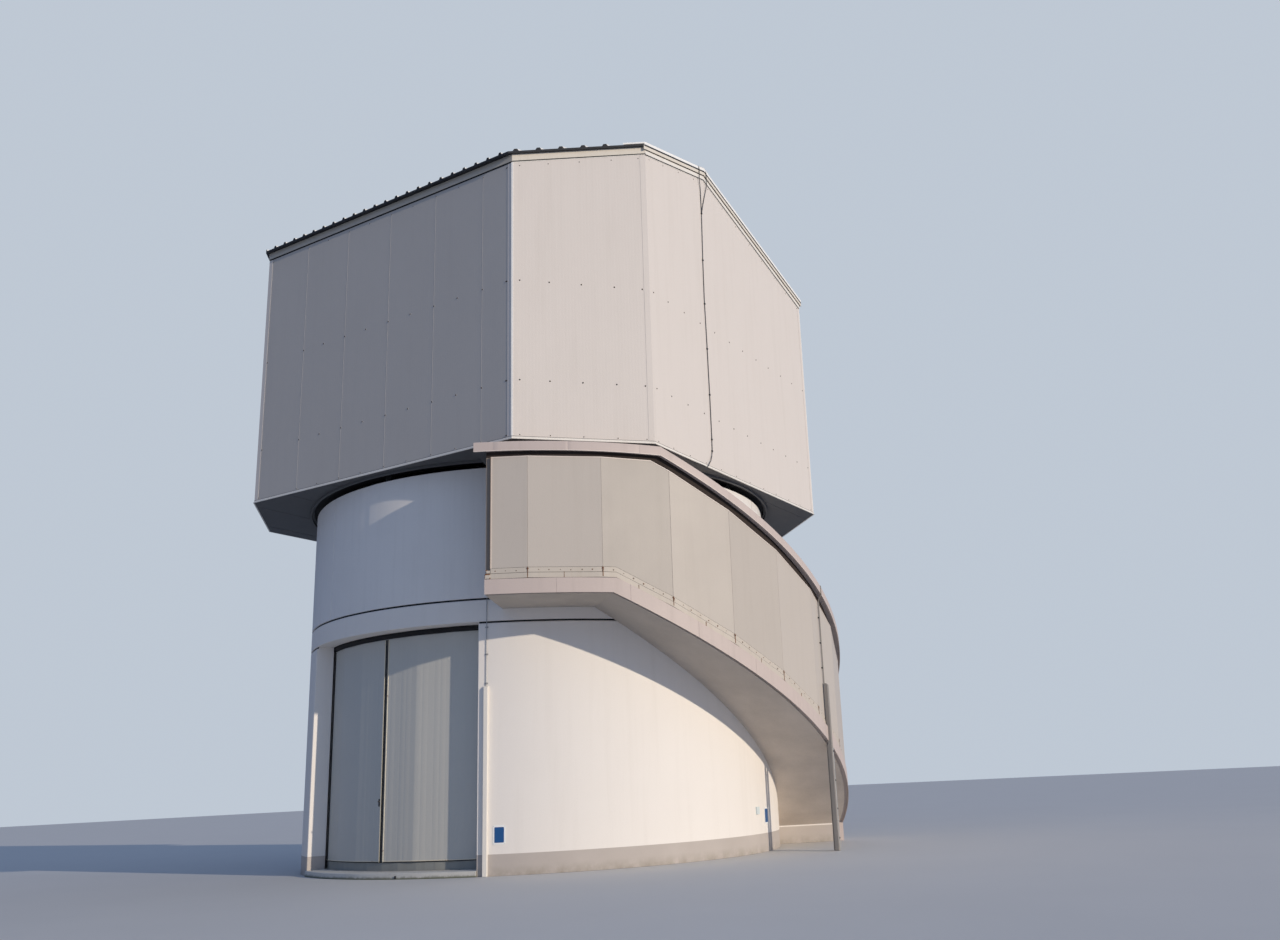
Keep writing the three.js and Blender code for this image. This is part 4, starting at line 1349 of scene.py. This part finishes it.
def verge_flashing():
    """Flashings along the gables: a white fold that laps onto the sheet, and the board under it."""
    fold = 0.012
    inner, top = HALF_X - VERGE, RIB["top"] - 0.0005
    over_sheet = [(inner, SHEET_TOP + fold), (inner, top), (HALF_X, top), (HALF_X, SHEET_TOP - fold)]
    down = [(HALF_X - fold, SHEET_TOP - fold), (HALF_X - fold, SHEET_TOP + fold)]
    along_gables("verge_flashing", over_sheet + down, WHITE_TRIM)
    back, front, height = HALF_X - 0.018, HALF_X - 0.005, 0.0925
    board = [(back, 0.0), (back, height), (front, height), (front, 0.0)]
    along_gables("verge_board", board, CREAM_BAND)


verge_flashing()


def gable_conductor():
    """Lightning wires that come over the gable's edge, join, run down it and curl under the soffit."""
    side = SIDES[0]
    near, bend, rim = 0.012, 0.03, 0.052  # ways out from the wall
    wall = [(-1.165, 11.80), (-1.200, 10.8), (-1.215, 10.0), (-1.195, 9.0), (-1.183, 8.0)]
    wall += [(-1.183, 7.24), (-1.193, 7.02)]
    curl = [(-1.29, 6.81), (-1.385, 6.70), (-1.44, 6.652), (-1.60, 6.658), (-1.76, 6.652), (-1.90, 6.640)]
    held = [*wall[:2], (-1.21, 9.9), (-1.195, 9.0), (-1.185, 8.1), *wall[-2:]]

    def wire(y, stops):
        """A wire from stops near the ridge, whose heights are over the roof's line, to stops on the wall."""
        hung, fixed = stops
        places = [(at, out, roof_z(y) + rise) for at, out, rise in hung] + fixed
        return tube([side.at(at - side.start.y, out, z) for at, out, z in places], 0.007)

    y = -1.25
    hung = [(y, -0.2, 0.148), (y, 0.038, 0.148), (y, rim, 0.11), (y, rim, -0.01)]
    hung += [(-1.22, bend, -0.16), (-1.17, near, -0.3)]
    down = [(at, near, z) for at, z in wall] + [(-1.235, 0.02, 6.90)] + [(at, bend, z) for at, z in curl]
    first = wire(y, (hung, down))
    y = -0.98
    hung = [(y, 0.040, 0.135), (y, rim, 0.08), (y, rim, -0.01), (-0.94, bend, -0.16)]
    second = wire(y, (hung, [(-1.04, near, 12.18), (-1.12, near, 11.95), (-1.160, near, 11.80)]))
    make_turning("gable_conductor", [first, second], DARK_STEEL)
    saddles = [block(side.matrix(at - side.start.y, 0.0, z), (0.032, 0.026, 0.022)) for at, z in held]
    make_turning("gable_conductor_clips", saddles, DARK_STEEL)


gable_conductor()


# CAD nodes that stay as they are, with their finish

KEPT_NODES = {
    "upper_door_lintel": UPPER_RENDER,
    "ground_floor": CONCRETE,
    "upper_floor": CONCRETE,
    "turning_rail": DARK_STEEL,
    "door_bottom_guide": GUIDE_GREY,
    "door_top_track": SHADOW_SEAL,
    "door_leaf_right": DOOR_STEEL,
    "door_leaf_left": DOOR_STEEL,
    "understair_wall": WHITE_RENDER,
    "stair_end_wall": END_WALL,
    "stair_entrance_wall": STAIR_CLADDING,
    "stair_post": COVER_GREY,
    "enclosure_soffit": DARK_SOFFIT,
    "enclosure_base_ring": SHADOW_SEAL,
    "roof_ridge_cap": PALE_TRIM,
}
for node, finish in KEPT_NODES.items():
    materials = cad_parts[node].data.materials
    materials.clear()
    materials.append(finish[1])


# Camera, light and floor

IMAGE_WIDTH, IMAGE_HEIGHT = 1280, 940
FOCAL_PX = 1075.48
CENTRE_PX = (714.0, 503.0)
CAMERA_AZ, CAMERA_DISTANCE, CAMERA_HEIGHT = 40.35, 22.18, 1.208
YAW, PITCH, ROLL = 0.1601, 0.2556, -0.0479
SUN_AZ, SUN_ELEVATION = 84.0, 13.8
BRIGHT_SIDE_AZ = 95
DIM_SIDE, BRIGHT_SIDE = (0.06, 0.11, 0.235), (0.36, 0.46, 0.65)
BACKDROP = (0.52, 0.58, 0.66)


def add_camera():
    data = bpy.data.cameras.new("camera")
    data.sensor_width = 36.0
    data.lens = data.sensor_width * FOCAL_PX / IMAGE_WIDTH
    data.shift_x = (IMAGE_WIDTH / 2 - CENTRE_PX[0]) / IMAGE_WIDTH
    data.shift_y = (CENTRE_PX[1] - IMAGE_HEIGHT / 2) / IMAGE_WIDTH
    data.clip_end = 500
    camera = linked("camera", data)
    turned = Matrix.Rotation(math.radians(CAMERA_AZ), 3, "Z")
    level = math.cos(PITCH)
    forward = turned @ Vector((math.sin(YAW) * level, math.cos(YAW) * level, math.sin(PITCH)))
    right = turned @ Vector((math.cos(YAW), -math.sin(YAW), 0))
    up = right.cross(forward)
    tilted_right = math.cos(ROLL) * right + math.sin(ROLL) * up
    tilted_up = -math.sin(ROLL) * right + math.cos(ROLL) * up
    pose = Matrix((tilted_right, tilted_up, -forward)).transposed().to_4x4()
    pose.translation = place(CAMERA_AZ, CAMERA_DISTANCE, CAMERA_HEIGHT)
    camera.matrix_world = pose
    bpy.context.scene.camera = camera


def add_key():
    """A low key light from the right."""
    data = bpy.data.lights.new("key", "SUN")
    data.energy = 2.63
    data.angle = math.radians(0.7)
    data.color = (1.0, 0.87, 0.70)
    rise = math.radians(SUN_ELEVATION)
    towards = place(SUN_AZ, math.cos(rise), math.sin(rise))
    linked("key", data).rotation_euler = towards.to_track_quat("Z", "Y").to_euler()


def add_surround():
    """A cool surround, brighter towards the key and pale where the camera sees it."""
    world = bpy.data.worlds.new("studio")
    world.use_nodes = True
    nodes = Nodes(world.node_tree)
    surround = nodes.tree.nodes["Background"]
    ways = {0: nodes.node("ShaderNodeTexCoord", {}).outputs["Generated"], 1: place(BRIGHT_SIDE_AZ, 1, 0)}
    towards = nodes.node("ShaderNodeVectorMath", ways, operation="DOT_PRODUCT").outputs["Value"]
    share = nodes.node("ShaderNodeMapRange", {"Value": towards, "From Min": -1.0}).outputs[0]
    colours = {0: share, 6: (*DIM_SIDE, 1), 7: (*BRIGHT_SIDE, 1)}
    sides = nodes.node("ShaderNodeMix", colours, data_type="RGBA").outputs[2]
    nodes.tree.links.new(sides, surround.inputs["Color"])
    backdrop = nodes.node("ShaderNodeBackground", {"Color": (*BACKDROP, 1)}).outputs[0]
    seen = nodes.node("ShaderNodeLightPath", {}).outputs["Is Camera Ray"]
    choice = nodes.node("ShaderNodeMixShader", {0: seen, 1: surround.outputs[0], 2: backdrop})
    nodes.tree.links.new(choice.outputs[0], nodes.tree.nodes["World Output"].inputs["Surface"])
    bpy.context.scene.world = world


def add_floor():
    data = bpy.data.meshes.new("studio_floor")
    size = 160
    corners = [(-size, -size, 0), (size, -size, 0), (size, size, 0), (-size, size, 0)]
    data.from_pydata(corners, [], [(0, 1, 2, 3)])
    surface = Surface("floor", "studio_floor", 0.9)
    cloud = surface.noise(0.4, 4)
    tone = surface.mix(cloud, (0.60, 0.59, 0.575), (0.64, 0.63, 0.615))
    data.materials.append(surface.finish(tone, cloud, 0.0005, cloud)[1])
    floor = linked("studio_floor", data)
    floor.location.z = -0.002
    floor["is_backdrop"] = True


add_camera()
add_key()
add_surround()
add_floor()
bpy.context.scene.view_settings.view_transform = "Standard"

[[list(corner) for corner in box] for box in (CAD_BOX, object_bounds())]
